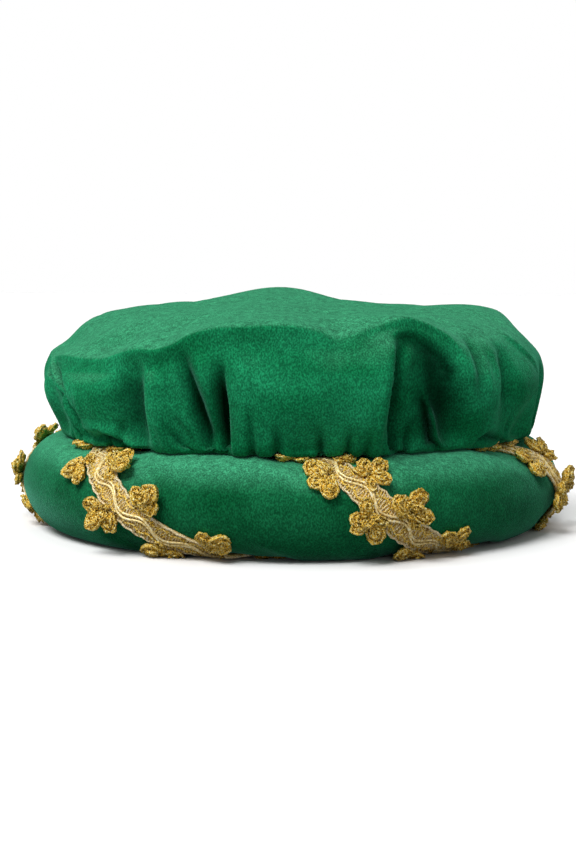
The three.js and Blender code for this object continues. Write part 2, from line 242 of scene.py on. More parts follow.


# %% [markdown]
# ## Velvet
# Velvet is a dense pile of short fibres that stand up from the cloth. Where the cloth lies flat
# the light falls on the tips of the fibres, and here that is painted: parts that face upwards
# take a lighter top colour, a painted top light. Where the cloth stands upright it keeps its
# deep colour. In the depth of a fold hardly any light comes back, and that is painted shade from
# an attribute. The group mixes its colours by these three, and the shader's sheen adds a paler edge.
# What makes it look like cloth and not like paint is the pile itself: it leans one way here and
# another there, and each tuft catches the light by itself. That comes from noise of four sizes.
# Both velvets share the group.

# %% Velvet pile group
pile, given, result = new_group(
    "velvet pile and painted light",
    "ShaderNodeTree",
    {
        "Place": "Vector",
        "Painted Fold Shade": 0.0,
        "Deep Colour": (0, 0, 0, 1),
        "Light Colour": (1, 1, 1, 1),
        "Painted Top Light Colour": (1, 1, 1, 1),
        "Patch Scale": 45.0,
        "Crush Scale": 170.0,
        "Streak Scale": 420.0,
        "Tuft Scale": 1500.0,
    },
    {"Colour": "Color", "Height": "Float"},
)
brushed = add_node(
    pile, "ShaderNodeMapping", {"Vector": given["Place"], "Scale": (0.5, 1, 1)}
).outputs[0]
leaning = add_node(
    pile, "ShaderNodeMapping",
    {"Vector": given["Place"], "Rotation": (0.3, 0.2, 0), "Scale": (1, 1, 0.6)},
).outputs[0]
patches = noise(pile, brushed, given["Patch Scale"], 4.0)["Fac"]
crushes = noise(pile, given["Place"], given["Crush Scale"], 3.0, 0.6)["Fac"]
streaks = noise(pile, leaning, given["Streak Scale"], 3.0)["Fac"]
tufts = noise(pile, leaning, given["Tuft Scale"], 2.0)["Fac"]

cloth = mix_colours(
    pile, ranged(pile, patches, 0.35, 0.65), given["Deep Colour"], given["Light Colour"])
facing = add_node(
    pile, "ShaderNodeSeparateXYZ", {0: pile.nodes.new("ShaderNodeNewGeometry").outputs["Normal"]}
)
# Painted top light: the more a part faces upwards, the more of the lighter top colour it takes, as if
# lit from above.
upward = ranged(pile, facing.outputs["Z"], 0.36, 0.88, interpolation_type="SMOOTHSTEP")
with_painted_top_light = mix_colours(pile, upward, cloth, given["Painted Top Light Colour"])
# Painted shade: the fold attribute darkens the colour towards a near black green in creases and fold
# hollows.
painted_shade = maths(pile, "MULTIPLY", given["Painted Fold Shade"], 0.85, clamp=True)
with_painted_fold_shade = mix_colours(pile, painted_shade, with_painted_top_light, (0, 0.01, 0.003, 1))

grain = ranged(pile, tufts, 0.4, 0.68, 0.7, 1.55)
crush = ranged(pile, crushes, 0.3, 0.7, 0.88, 1.12)
on_top = maths(pile, "MULTIPLY_ADD", ranged(pile, streaks, 0.3, 0.7, -0.3, 0.3), upward, 1.0)
brightness = maths(pile, "MULTIPLY", maths(pile, "MULTIPLY", grain, crush), on_top)
pile.links.new(scaled(pile, with_painted_fold_shade, brightness), result["Colour"])
pile.links.new(tufts, result["Height"])


# %% Material from a group
def finish_from(group, name, values, strength, distance):
    """A material whose colour and bump come from a group, by the piece's own coordinates."""
    material, tree, shader = new_material(name)
    inputs = {key: (*value, 1) if isinstance(value, tuple) else value for key, value in values.items()}
    inputs["Place"] = tree.nodes.new("ShaderNodeTexCoord").outputs["Object"]
    shared = add_node(tree, "ShaderNodeGroup", inputs, node_tree=group)
    bump = add_node(
        tree, "ShaderNodeBump",
        {"Strength": strength, "Distance": distance, "Height": shared.outputs["Height"]},
    )
    tree.links.new(shared.outputs["Colour"], shader.inputs["Base Color"])
    tree.links.new(bump.outputs[0], shader.inputs["Normal"])
    return material, tree, shader, shared


# %% Velvets
# top is the lighter colour of the painted top light on upward-facing parts.
def velvet(name, deep, light, top, sheen=0.2):
    colours = {"Deep Colour": deep, "Light Colour": light, "Painted Top Light Colour": top}
    material, tree, shader, nap = finish_from(pile, name, colours, strength=0.7, distance=0.0006)
    # The fold attribute holds the painted shade of the creases and hollows.
    fold = add_node(tree, "ShaderNodeAttribute", attribute_name="fold")
    tree.links.new(fold.outputs["Fac"], nap.inputs["Painted Fold Shade"])
    shader.inputs["Roughness"].default_value = 1
    shader.inputs["Specular IOR Level"].default_value = 0
    shader.inputs["Sheen Weight"].default_value = sheen
    shader.inputs["Sheen Roughness"].default_value = 0.35
    shader.inputs["Sheen Tint"].default_value = (0.3, 1, 0.72, 1)
    return material


crown_green = velvet(
    "crown_green_velvet", (0.005, 0.15, 0.053), (0.012, 0.23, 0.095), (0.034, 0.228, 0.11))
# The roll's copy is darker in its deep and light colours and lighter on top than the crown's: painted
# shade and painted top light for its rounded form.
roll_green = velvet(
    "roll_green_velvet", (0.003, 0.08, 0.026), (0.007, 0.125, 0.046), (0.042, 0.28, 0.14), sheen=0.4)
velvet_back = velvet(
    "velvet_back", (0.004, 0.09, 0.035), (0.01, 0.12, 0.05), (0.01, 0.12, 0.05), sheen=0.1)
print("velvets:", crown_green.name, roll_green.name, velvet_back.name)

# %% [markdown]
# ## Mesh helpers
# The velvet pieces are grids of points that close on themselves. A grid is kept as an array of
# rings, and its faces follow from its size, so the shape is all that has to be worked out.


# %% Mesh helpers
def around(azimuth, radius, height):
    """Points from azimuths in degrees, radii and heights."""
    angle = np.radians(azimuth)
    height = np.broadcast_to(height, np.broadcast(angle, radius).shape)
    return np.stack([radius * np.sin(angle), -radius * np.cos(angle), height], -1)


def smoothstep(value, start=0.0, end=1.0):
    share = np.clip((value - start) / (end - start), 0, 1)
    return share * share * (3 - 2 * share)


def turn_between(start, end):
    return np.mod(end - start + 180, 360) - 180


def grid_faces(rows, columns, closed_rows=False):
    """The quads of a grid that closes round its columns, and along its rows where asked."""
    i = np.arange(rows if closed_rows else rows - 1)[:, None]
    j = np.arange(columns)[None, :]
    here, below = i * columns, (i + 1) % rows * columns
    right = (j + 1) % columns
    quads = np.stack([here + j, below + j, below + right, here + right], -1)
    return quads.reshape(-1, 4)


def mesh_piece(name, points, faces, materials):
    """A mesh object from points in millimetres, shaded smooth."""
    mesh = bpy.data.meshes.new(name)
    mesh.from_pydata((points * MM).tolist(), [], [tuple(face) for face in faces])
    mesh.shade_smooth()
    for material in materials:
        mesh.materials.append(material)
    piece = bpy.data.objects.new(name, mesh)
    bpy.context.scene.collection.objects.link(piece)
    return piece


# %% [markdown]
# ## Crown
# The crown is a disc of velvet gathered in at its edge. Here it is a smooth body first: a
# profile from the middle of the top, over the rim, down to the hem, with a rim that sags by a
# table and a top that swells and dips. The sizes are those of the solid crown.

# %% Crown sizes
crown_radius, crown_height, roll_height = 134, 72, 48
seat_gap, crown_wall = 0.35, 1.6
shoulder_sag, top_swell, fold_depth = 16, 7, 11
roll_centre, roll_half_width, roll_half_height, foot_flattening = 117, 28, 25, 2

# Places 0 to 10 run from the middle of the top over the rim and down. The cloth meets the roll
# at place 9, and from there it is turned in.
seam_place, last_place = 9, 10
# reach, rise, sag, swell
crown_profile = np.array([
    (0.000, 1.000, 0.00, 1.0),
    (0.280, 0.985, 0.00, 1.0),
    (0.570, 0.950, 0.20, 0.9),
    (0.780, 0.925, 0.65, 0.5),
    (0.900, 0.850, 1.00, 0.2),
    (0.965, 0.690, 0.90, 0.0),
    (1.000, 0.510, 0.55, 0.0),
    (1.000, 0.320, 0.25, 0.0),
    (0.985, 0.150, 0.10, 0.0),
    (0.955, 0.035, 0.00, 0.0),
    (0.858, 0.005, 0.00, 0.0),
])
# azimuth, share of the shoulder's sag
crown_sags = np.array([
    (-90, 0.5), (-70, 0.9), (-46, 0.95), (-32, 0.6), (-16, 0.05), (-2, 0.08), (9, 0.28),
    (25, 0.0), (42, 0.55), (64, 0.5), (90, 0.1), (118, 0.25), (145, 0.05), (172, 0.4),
    (200, 0.1), (232, 0.05), (252, 0.3), (270, 0.5),
])
# x, y, size, height
crown_swells = [
    (-0.08, 0.12, 0.32, 0.85), (0.42, 0.1, 0.34, -0.6), (0.8, 0.1, 0.35, 0.5),
    (-0.42, 0.15, 0.26, -0.65), (0.15, -0.62, 0.3, -0.45), (0.1, 0.7, 0.3, -0.4),
    (0.14, 0.1, 0.15, -0.35),
]
print("crown %d mm across, over a roll %d mm high" % (2 * crown_radius, roll_height))


# %% Crown body
def profile_at(place, column):
    knots = crown_profile[:, column]
    slopes = np.gradient(knots)
    slopes[0] *= column == 0
    i = np.clip(np.floor(place).astype(int), 0, len(knots) - 2)
    t = place - i
    rise = knots[i] * (2 * t**3 - 3 * t**2 + 1) + slopes[i] * (t**3 - 2 * t**2 + t)
    return rise + knots[i + 1] * (3 * t**2 - 2 * t**3) + slopes[i + 1] * (t**3 - t**2)


def sag_at(azimuth):
    places, sags = crown_sags[:, 0], crown_sags[:, 1]
    at = places[0] + np.mod(azimuth - places[0], 360)
    i = np.clip(np.searchsorted(places, at, side="right") - 1, 0, len(places) - 2)
    share = smoothstep((at - places[i]) / (places[i + 1] - places[i]))
    return sags[i] + (sags[i + 1] - sags[i]) * share


def crown_body(azimuth, place):
    flat = around(azimuth, profile_at(place, 0) * crown_radius, 0.0)
    swell = sum(
        height * np.exp(-((flat[..., 0] / crown_radius - x) ** 2
                          + (flat[..., 1] / crown_radius - y) ** 2) / size**2)
        for x, y, size, height in crown_swells
    )
    flat[..., 2] = (
        roll_height
        + profile_at(place, 1) * crown_height
        - shoulder_sag * profile_at(place, 2) * sag_at(azimuth)
        + top_swell * profile_at(place, 3) * swell
    )
    return flat


crown_columns, crown_rows = 600, 100
crown_azimuths = np.arange(crown_columns) * 360 / crown_columns
crown_places = np.linspace(0.08, last_place, crown_rows)
body = crown_body(crown_azimuths[None, :], crown_places[:, None])
print("crown body %d points, top at %.1f mm" % (body[..., 0].size, body[..., 2].max()))

# %% [markdown]
# ## Folds of the crown
# Gathering makes two kinds of form. The large ones are hollows that run from the rim down to
# the hem: the solid model has them too, and they use its table. The small ones are creases,
# edges that lap over and lips above the seam. Each of those is a line over the cloth with a
# depth at every point and a width on either side: a narrow side makes a sharp edge, a wide one
# a gentle roll. Simulating a gathered disc gives folds too, but not these folds.

# %% Large folds
# top, hem, bow, start, deepest, depth, width, lean
crown_folds = [
    (-94, -92, 0, 0.5, 0.85, 0.55, 34, 0), (-88, -85, 0, 0.5, 0.8, 0.45, 8, 0.3),
    (-69, -66, 3, 0.5, 0.82, 0.5, 8, -0.3), (-52, -51, 0, 0.7, 0.93, 0.45, 8, 0.2),
    (-36, -36, 0, 0.44, 0.82, 0.55, 8, 0.2), (-28, -20, -1, 0.44, 0.8, 0.6, 7, -0.2),
    (-13, -14, 0, 0.5, 0.82, 0.7, 7, 0.3), (3, 3, 0, 0.75, 0.95, 0.3, 8, 0),
    (29, 25, -4, 0.4, 0.75, 1.0, 8, -0.4), (34, 41, -1, 0.52, 0.85, 0.6, 7, 0.2),
    (48, 54, 2, 0.42, 0.72, 0.45, 8, 0), (66, 64, 0, 0.7, 0.93, 0.5, 8, 0.2),
    (80, 79, 0, 0.5, 0.85, 0.4, 8, 0.3), (98, 95, 2, 0.45, 0.8, 0.6, 8, -0.3),
    (113, 116, 0, 0.55, 0.85, 0.45, 8, 0.2), (129, 132, -2, 0.42, 0.78, 0.75, 8, 0.3),
    (146, 146, 0, 0.65, 0.9, 0.4, 8, 0), (160, 163, 2, 0.45, 0.8, 0.65, 8, -0.3),
    (178, 177, 0, 0.6, 0.88, 0.45, 8, 0.2), (194, 191, -3, 0.42, 0.76, 0.8, 8, 0.3),
    (210, 211, 0, 0.65, 0.9, 0.4, 8, 0), (224, 228, 1, 0.45, 0.8, 0.65, 8, -0.3),
    (241, 243, 0, 0.55, 0.85, 0.45, 8, 0.3), (256, 258, 2, 0.45, 0.8, 0.55, 8, 0.2),
]
fold_share_at_hem, folds_close_at = 0.16, 0.86


def fold_middle(fold, share):
    top, hem, bow, start = fold[:4]
    run = np.clip((share - start) / (1 - start), 0, 1)
    return top + (hem - top) * run + bow * np.sin(np.pi * run)


def large_folds(azimuth, place):
    share = np.minimum(1, place / seam_place)
    total = 0
    for fold in crown_folds:
        start, deepest, depth, width, lean = fold[3:]
        away = turn_between(fold_middle(fold, share), azimuth)
        reach = width * np.where(away > 0, 1 - lean, 1 + lean)
        opening = smoothstep(share, start, deepest)
        closing = 1 - (1 - fold_share_at_hem) * smoothstep(share, max(deepest, folds_close_at), 1)
        bell = 0.5 + 0.5 * np.cos(np.pi * np.clip(away / reach, -1, 1))
        total = total + depth * opening * closing * bell
    return fold_depth * total


# %% Wide forms
def crease(left, right, sharp, *line):
    """A line over the cloth through (azimuth, place, depth in mm), where a ridge is under 0.

    left is the width in mm on the side of the lesser azimuth for a line that runs down, and
    below it for one that runs towards a greater azimuth. sharp says how pointed the crease is.
    """
    return left, right, sharp, line


# Broad forms, which move the cloth and get none of the painted crease shade.
wide_forms = [
    # the shoulders are flat at both sides, and the left side draws in below its middle
    crease(20, 18, 0, (-128, 4.2, 0), (-108, 4.2, 2.6), (-84, 4.2, 2.6), (-62, 4.1, 0)),
    crease(18, 16, 0, (-125, 7.6, 0), (-102, 7.6, 2), (-82, 7.6, 2), (-64, 7.6, 0)),
    crease(20, 16, 0, (70, 4.2, 0), (84, 4.2, 2.4), (104, 4.2, 2.4), (122, 4.2, 0)),
    # the top sinks a little behind its edge, and the front panel is slightly hollow
    crease(12, 22, 0, (-50, 3.3, 0), (-36, 3.3, 1.2), (-18, 3.3, 1.4), (0, 3.2, 0.6), (8, 3.2, 0)),
    crease(14, 16, 0, (-12, 4.6, 0), (-7, 5.1, 1.3), (0, 6, 1), (4, 6.8, 0)),
]
print(len(wide_forms), "wide forms")

# %% Edge of the top and creases at the left
creases = [
    # the edge of the top, crisp in front
    crease(
        9, 13, 0.8, (-92, 4.9, 0), (-78, 4.8, -2.4), (-62, 4.6, -3), (-48, 4.5, -3),
        (-40, 4.5, -3), (-27, 4.6, -3.8), (-19.4, 4.5, -4.2), (-15, 4.4, -4), (-6.4, 4.3, -3.6),
        (1.4, 4.2, -3), (5.8, 4.1, -2.2), (9.2, 4.2, -1), (13, 4.2, -1.2), (17, 4.1, -1),
        (20, 4, 0),
    ),
    # the tight pleats at the left corner and the lip beside them
    crease(
        3, 4, 0.8, (-80, 4.5, 0), (-73, 5.1, 3.2), (-66, 5.7, 4.4), (-59, 6.6, 4.4),
        (-56, 8.3, 2.6), (-56, 9.1, 0),
    ),
    crease(
        2.5, 2.5, 0.5, (-75, 4.7, 0), (-68, 5.2, -2), (-61.5, 6, -2.6), (-57.5, 6.9, -2.8),
        (-54.6, 8.2, -1.6), (-54.6, 9.1, 0),
    ),
    crease(
        2.5, 4, 0.8, (-73, 4.5, 0), (-67, 5, 3.2), (-62, 5.5, 4.2), (-57, 6.4, 4.2),
        (-53, 7.9, 2.6), (-53, 9, 0),
    ),
    crease(
        3, 10, 0.5, (-51, 6.2, 0), (-50.5, 7, -2), (-50, 7.8, -2.6), (-50, 8.6, -2), (-51, 9.2, 0),
    ),
    crease(
        2.5, 6, 0.5, (-51, 7.7, 0), (-48, 7.9, -2), (-42, 8.1, -2.6), (-39, 8.6, -1.8),
        (-36, 9.1, 0),
    ),
    crease(5, 2.2, 0.4, (-51, 8.5, 0), (-47, 8.4, 2.4), (-42, 8.5, 2.6), (-38, 9, 1.5)),
]
print(len(creases), "creases at the edge and the left")

# %% Creases in front
creases += [
    # the soft valley and the ridge right of it
    crease(
        17, 8, 0.1, (-36, 4.3, 0), (-34.5, 5.2, 1.8), (-34, 6.2, 2.8), (-33.5, 7.5, 3),
        (-33, 8.8, 1.4),
    ),
    crease(3, 8, 0.5, (-31, 5.3, 0), (-29.5, 6.2, -1.5), (-28, 7.2, -1.8), (-27.5, 8.8, -1)),
    # the slanted dark valley, the small ridge in its foot, and the ridge right of it
    crease(
        6, 8, 0.4, (-26, 4.3, 0), (-23.5, 5, 2), (-21.5, 6, 4), (-19.5, 7, 4.5), (-18, 8, 3.5),
        (-18, 8.9, 2),
    ),
    crease(3, 4, 0.6, (-26, 6.7, 0), (-24, 7.3, -2.6), (-21.5, 8, -2.8), (-18.5, 8.9, -1.2)),
    crease(4, 3, 0.6, (-27, 7.6, 0), (-24.5, 8.2, 2.2), (-22, 8.9, 2)),
    crease(5, 5, 0.4, (-17.5, 5.4, 0), (-17, 6.2, -1.2), (-16.8, 7.2, -1.5), (-17, 8.4, -1)),
    # the sharp dark crease, and the smooth panel's edge
    crease(
        6, 2.2, 0.8, (-14.3, 5, 0), (-14, 5.7, 2), (-14, 6.6, 4.5), (-13.8, 7.8, 5),
        (-13.8, 9, 3.5),
    ),
    crease(1.8, 9, 0.4, (-12.8, 5.6, 0), (-12.3, 6.8, -1.2), (-12.2, 8.5, -1)),
    crease(4, 3, 0.5, (-8.5, 6.8, 0), (-8, 7.8, 1.8), (-8, 9.2, 2.2)),
    crease(3.5, 4, 0.4, (-3, 7.5, 0), (-2.6, 8.3, 2), (-3, 9.3, 2)),
    crease(9, 9, 0.2, (9.5, 3.2, 0), (9.5, 4.1, 0.9), (9, 4.8, 0.5), (8, 5.6, 0)),
]
print(len(creases), "creases with those in front")

# %% Creases at the right
creases += [
    # the wide recess behind the arch, and in it the long edge that laps over and its valley
    crease(16, 24, 0, (30, 4.5, 0), (31, 5.5, 3.3), (32, 7, 3.9), (33, 8.4, 2.4), (34, 9.3, 0)),
    crease(
        18, 2.4, 0.5, (22.5, 4.5, 0), (21, 5, -2), (19.3, 5.8, -3), (18.3, 6.6, -3.2),
        (18, 7.7, -3), (18.6, 9, -1.5),
    ),
    crease(
        2.4, 7, 0.5, (24, 4.9, 0), (22, 5.6, 2.5), (21, 6.4, 4), (21, 7.4, 4.2), (21.7, 8.3, 3.5),
        (23, 9, 2),
    ),
    # the arch above the pocket, the pocket, and the ridge in it
    crease(
        3.5, 15, 0.5, (13, 4.2, 0), (21, 4, -1.5), (27, 3.9, -2.5), (32, 3.95, -2.5),
        (36, 4.2, -2.5), (37.7, 4.6, -2.2), (38.5, 5.2, -1.5), (38.5, 6, 0),
    ),
    crease(
        15, 4, 0.3, (20, 4.7, 0), (24, 4.6, 1.2), (28, 4.5, 2.2), (32, 4.6, 3), (35, 4.9, 3),
        (36, 5.4, 2.5), (36, 6.2, 0),
    ),
    crease(
        4, 4, 0.4, (27, 4.8, 0), (25.5, 5.4, -1.5), (24.5, 6, -2), (24.2, 6.8, -1.5), (25, 7.6, 0),
    ),
    crease(
        5, 2.5, 0.7, (27.5, 6.4, 0), (28.3, 6.9, 1.6), (29.6, 7.5, 3), (31.5, 8.2, 3.6),
        (34.5, 9, 2.6),
    ),
    crease(2, 6, 0.5, (29.5, 6.8, 0), (31.3, 7.5, -1.3), (33, 8.3, -1.2), (36, 9.1, 0)),
    # the soft folds at the right
    crease(7, 7, 0.2, (45, 3.8, 0), (44, 4.4, 2), (43, 5.2, 2.5), (42, 6.2, 1.5), (42, 7, 0)),
    crease(
        6, 8, 0.3, (50, 3.9, 0), (50, 4.6, -1.5), (49.5, 5.5, -2), (48.5, 6.5, -1), (48, 7.2, 0),
    ),
    crease(7, 9, 0.1, (55, 4.2, 0), (54, 5.2, 1.8), (53, 6.4, 1.2), (53, 7.4, 0)),
    crease(4, 6, 0.4, (66, 3.3, 0), (62, 4, -1.2), (65, 4.6, -1.5), (69, 5.2, -1.5), (71, 6, 0)),
    crease(8, 2.5, 0.6, (44.5, 9.1, 0), (45.5, 8.5, 2.5), (48, 8.2, 3), (53, 8.4, 2.5), (60, 9, 1)),
    crease(2.5, 2.5, 0.7, (74, 8.2, 0), (72, 8.6, 1.5), (68, 9.1, 1.2)),
]
# Small puckers where the gathering thread pulls at the hem, by azimuth.
puckers = [6, 12, 16, 26, 57, -40, -45, -60, 88]
print(len(creases), "creases placed by hand")

# %% [markdown]
# The folds that the photograph doesn't show, at the sides and the back, get creases too. Each
# large fold has a sharper line in its depth, and the gathering thread makes a pucker every few
# centimetres. A fixed seed places them.

# %% Creases all round
leftmost_shown, rightmost_shown = -75, 72
chance = np.random.default_rng(7)
for fold in crown_folds:
    if leftmost_shown < fold[0] < rightmost_shown:
        continue
    shares = fold[3] + (1 - fold[3]) * np.array([0.25, 0.5, 0.75, 0.97])
    depths = fold[5] * np.array([0, 3.0, 5.0, 2.5]) * chance.uniform(0.7, 1.2)
    middles = [fold_middle(fold, share) + chance.uniform(-1, 1) for share in shares]
    wide, narrow = chance.uniform(5, 9), chance.uniform(2.2, 3.5)
    left, right = (narrow, wide) if chance.random() < 0.5 else (wide, narrow)
    aside = 2 if left > right else -2
    valley = zip(middles, seam_place * shares, depths)
    edge = zip([middle + aside for middle in middles], seam_place * shares, -0.4 * depths)
    creases.append(crease(left, right, 0.6, *valley))
    creases.append(crease(right + 1, left + 1, 0.3, *edge))
unseen = np.arange(84, 285, 7.5)
puckers += list(unseen + chance.uniform(-2.5, 2.5, len(unseen)))
for azimuth in puckers:
    depth = chance.uniform(1.2, 2.4)
    slant = chance.uniform(-1, 1)
    line = [(azimuth - slant, 7.5, 0), (azimuth, 8.4, depth), (azimuth + slant, 9.3, depth * 0.9)]
    creases.append(crease(3, 3.6, 0.4, *line))
print(len(creases), "creases")


# %% Depth of the creases over the cloth
side_radius, narrowest = 126, 2.6
valley_gain, ridge_gain = 1.5, 1.15
fine_places = np.linspace(0, last_place, 401)
mean_profile = np.stack(
    [profile_at(fine_places, 0) * crown_radius, profile_at(fine_places, 1) * crown_height], -1)
run_down = np.append(0, np.cumsum(np.hypot(*np.diff(mean_profile, axis=0).T)))


def on_cloth(azimuth, place):
    """A point as distances in mm over the cloth: round the side, and down from the top."""
    return np.radians(azimuth) * side_radius, np.interp(place, fine_places, run_down)


def crease_depth(azimuth, place, left, right, sharp, line):
    middle = np.mean([point[0] for point in line])
    x, y = on_cloth(middle + turn_between(middle, azimuth), place)
    corners = [(*on_cloth(a, p), depth) for a, p, depth in line]
    nearest = np.full(np.broadcast(x, y).shape, np.inf)
    depth = np.zeros_like(nearest)
    for (ax, ay, a_depth), (bx, by, b_depth) in zip(corners, corners[1:]):
        dx, dy = bx - ax, by - ay
        t = np.clip(((x - ax) * dx + (y - ay) * dy) / (dx * dx + dy * dy), 0, 1)
        away = np.hypot(x - ax - t * dx, y - ay - t * dy)
        on_left = dx * (y - ay) - dy * (x - ax) > 0
        wide = np.where(on_left, left, right)
        share = np.minimum(1, away / np.maximum(wide, narrowest))
        shape = sharp * (1 - share) ** 2 + (1 - sharp) * (1 - smoothstep(share))
        here = (a_depth + (b_depth - a_depth) * t) * shape
        closer = away < nearest
        nearest = np.where(closer, away, nearest)
        depth = np.where(closer, here, depth)
    return depth


def summed(lines):
    """The depth in mm that a list of lines gives at every point of the crown's grid."""
    total = sum(crease_depth(crown_azimuths[None, :], crown_places[:, None], *line) for line in lines)
    return np.where(total > 0, total * valley_gain, total * ridge_gain)


creased = summed(creases)
depths = creased + summed(wide_forms)
print("creases from %.1f to %.1f mm deep" % (depths.min(), depths.max()))

# %% [markdown]
# ## Crown mesh
# The folds draw the body inwards, and the creases move it along its own normal. The inner face
# lies one wall inside the outer one and is divided less finely, because nothing sharp shows
# there. The hem rests on the roll.


# %% Helpers for the cloth
def grid_normals(points):
    """Outward normals of a grid of rings that run down the outside."""
    across = np.roll(points, -1, 1) - np.roll(points, 1, 1)
    down = np.gradient(points, axis=0)
    normal = np.cross(across, down)
    return -normal / np.maximum(np.linalg.norm(normal, axis=-1, keepdims=True), 1e-9)


def wrinkles(points, lengths, count, seed):
    """Soft unevenness between -1 and 1, with waves of about the given lengths in mm."""
    chance = np.random.default_rng(seed)
    total = 0
    for _ in range(count):
        way = chance.normal(size=3)
        way *= 2 * np.pi / np.linalg.norm(way) / chance.uniform(*lengths)
        total = total + np.sin(points @ way + chance.uniform(0, 2 * np.pi))
    return total / np.sqrt(count)


def above_roll(points):
    """The same points, raised where they would sink into the roll."""
    across = (np.hypot(points[..., 0], points[..., 1]) - roll_centre) / roll_half_width
    rise = roll_half_height * (1 + np.sqrt(1 - np.clip(across, -1, 1) ** 2))
    points[..., 2] = np.maximum(points[..., 2], rise - foot_flattening + seat_gap)


# %% Crown cloth
hem_sag, unevenness = 2, 0.65
# azimuth, how far the hem is tucked in, in mm
hem_tuck = np.array([(-150, 0), (-118, 6.5), (-82, 6.5), (-60, 3.2), (45, 3.2), (80, 0), (210, 0)])

outward = around(crown_azimuths, 1.0, 0.0)[None]
drawn_in = large_folds(crown_azimuths[None, :], crown_places[:, None])
outer = body - outward * drawn_in[..., None]
fading = smoothstep(crown_places, last_place, 8.5)[:, None]
uneven = wrinkles(outer, lengths=(22, 60), count=14, seed=3) * fading
outer = outer + grid_normals(outer) * (unevenness * uneven - depths)[..., None]
sagging = smoothstep(crown_places, 7.2, 9) * smoothstep(crown_places, last_place, 9.3)
tucking = smoothstep(crown_places, 6.8, 9) * smoothstep(crown_places, last_place, 9.2)
tuck = np.interp(turn_between(0, crown_azimuths), *hem_tuck.T) * tucking[:, None]
outer[..., 2] -= (hem_sag * sagging)[:, None]
outer -= outward * tuck[..., None]
outer[-1, :, 2] = 0
above_roll(outer)

inner = (outer - grid_normals(outer) * crown_wall)[::-2]
above_roll(inner)
print("cloth of %d rings outside and %d inside" % (len(outer), len(inner)))

# %% Crown mesh
full_painted_shade_depth, hollow_shade = 5, 0.3
walls = np.concatenate([outer, inner])
points = np.concatenate([walls.reshape(-1, 3), [outer[0].mean(0), inner[-1].mean(0)]])
faces = grid_faces(len(walls), crown_columns).tolist()
top, under = len(points) - 2, len(points) - 1
first_ring = np.arange(crown_columns)
last_ring = top - crown_columns + first_ring
faces += [(top, a, b) for a, b in zip(first_ring, np.roll(first_ring, -1))]
faces += [(under, b, a) for a, b in zip(last_ring, np.roll(last_ring, -1))]
crown = mesh_piece("crown_velvet", points, faces, [crown_green, velvet_back])
inside = np.zeros(len(faces), int)
inside[(len(outer) - 1) * crown_columns : (len(walls) - 1) * crown_columns] = 1
inside[-crown_columns:] = 1
crown.data.polygons.foreach_set("material_index", inside)
# Painted shade: the fold attribute grows with the depth of a crease up to its darkest, and a little
# with the large folds' hollows.
fold = np.zeros(len(points))
painted_shade = np.clip(creased, 0, full_painted_shade_depth) / full_painted_shade_depth + hollow_shade * drawn_in / fold_depth
fold[: painted_shade.size] = painted_shade.ravel()
crown.data.attributes.new("fold", "FLOAT", "POINT").data.foreach_set("value", fold)
print("crown of %d faces" % len(faces))

# %% [markdown]
# ## Braid path
# The braid winds seven times round the roll, and where it crosses the top, the side and the
# foot is known from the photograph. The path between is a smooth curve through those places.
# Everything that follows the braid, and the groove in the padding, is placed by this path.

# %% Braid path
braid_width = 14
flowers_per_turn = 16
# the azimuths where each winding crosses the top, the outer side and the foot
braid_turns = [
    (-108, -92, -74), (-50, -32, -10), (6, 18, 40), (58, 72, 86), (110, 122, 135),
    (160, 172, 185), (207, 221, 234),
]
knots = []
for winding in range(-1, len(braid_turns) + 2):
    wraps, row = divmod(winding, len(braid_turns))
    knots += [a + 360 * wraps for a in braid_turns[row]] + [None]
for i, knot in enumerate(knots[:-1]):
    if knot is None:
        knots[i] = (knots[i - 1] + knots[i + 1]) / 2
knots = np.array(knots[:-1], float)


def braid_azimuth(turns):
    quarters = np.asarray(turns) * 4 + 4
    i = np.floor(quarters).astype(int)
    t = quarters - i
    before, a, b, after = (knots[i + step] for step in (-1, 0, 1, 2))
    return (
        a * (2 * t**3 - 3 * t**2 + 1)
        + (b - before) / 2 * (t**3 - 2 * t**2 + t)
        + b * (3 * t**2 - 2 * t**3)
        + (after - a) / 2 * (t**3 - t**2)
    )


def press_at(turns):
    """How strongly the braid is pressed down: under the crown, inside and under the foot."""
    tube_angle = turn_between(0, 90 - 360 * np.asarray(turns))
    above = smoothstep(tube_angle, 15, 70)
    return np.where(tube_angle < 0, smoothstep(-tube_angle, 5, 55), above)


def roll_section(turns):
    """Radius, height and outward normal of the roll's section, from its top by the outer side."""
    angle = np.radians(90 - 360 * np.asarray(turns))
    c, s = np.cos(angle), np.sin(angle)
    up = roll_half_height * (1 + s) - foot_flattening
    normal = np.stack([c / roll_half_width, s / roll_half_height], -1)
    normal /= np.linalg.norm(normal, axis=-1, keepdims=True)
    flat = (up <= 0)[..., None]
    return roll_centre + roll_half_width * c, np.maximum(up, 0), np.where(flat, (0, -1), normal)


def over_roll(turns, azimuth, lift):
    """Points over the roll's round, and the outward directions there."""
    radius, up, normal = roll_section(turns)
    points = around(azimuth, radius + normal[..., 0] * lift, up + normal[..., 1] * lift)
    return points, around(azimuth, normal[..., 0], normal[..., 1])


section_length = 166.8  # once round the roll, in mm
print("windings:", len(braid_turns), "from azimuth", braid_azimuth(0), "to", braid_azimuth(7))

# %% [markdown]
# ## Roll
# The roll is a velvet tube with soft stuffing. The braid is sewn round it and draws it in, so
# the padding swells a little between the windings. That is what a cloth simulation with
# pressure does: the cloth under the braid and at the foot is held, and the rest is blown up by
# a millimetre or two.

# %% Roll before it is stuffed
roll_columns, roll_sides = 288, 58
slack = 1.6
groove_depth, deepest_groove = 1.0, 2.85
flower_reach, groove_ramp = 20, 6


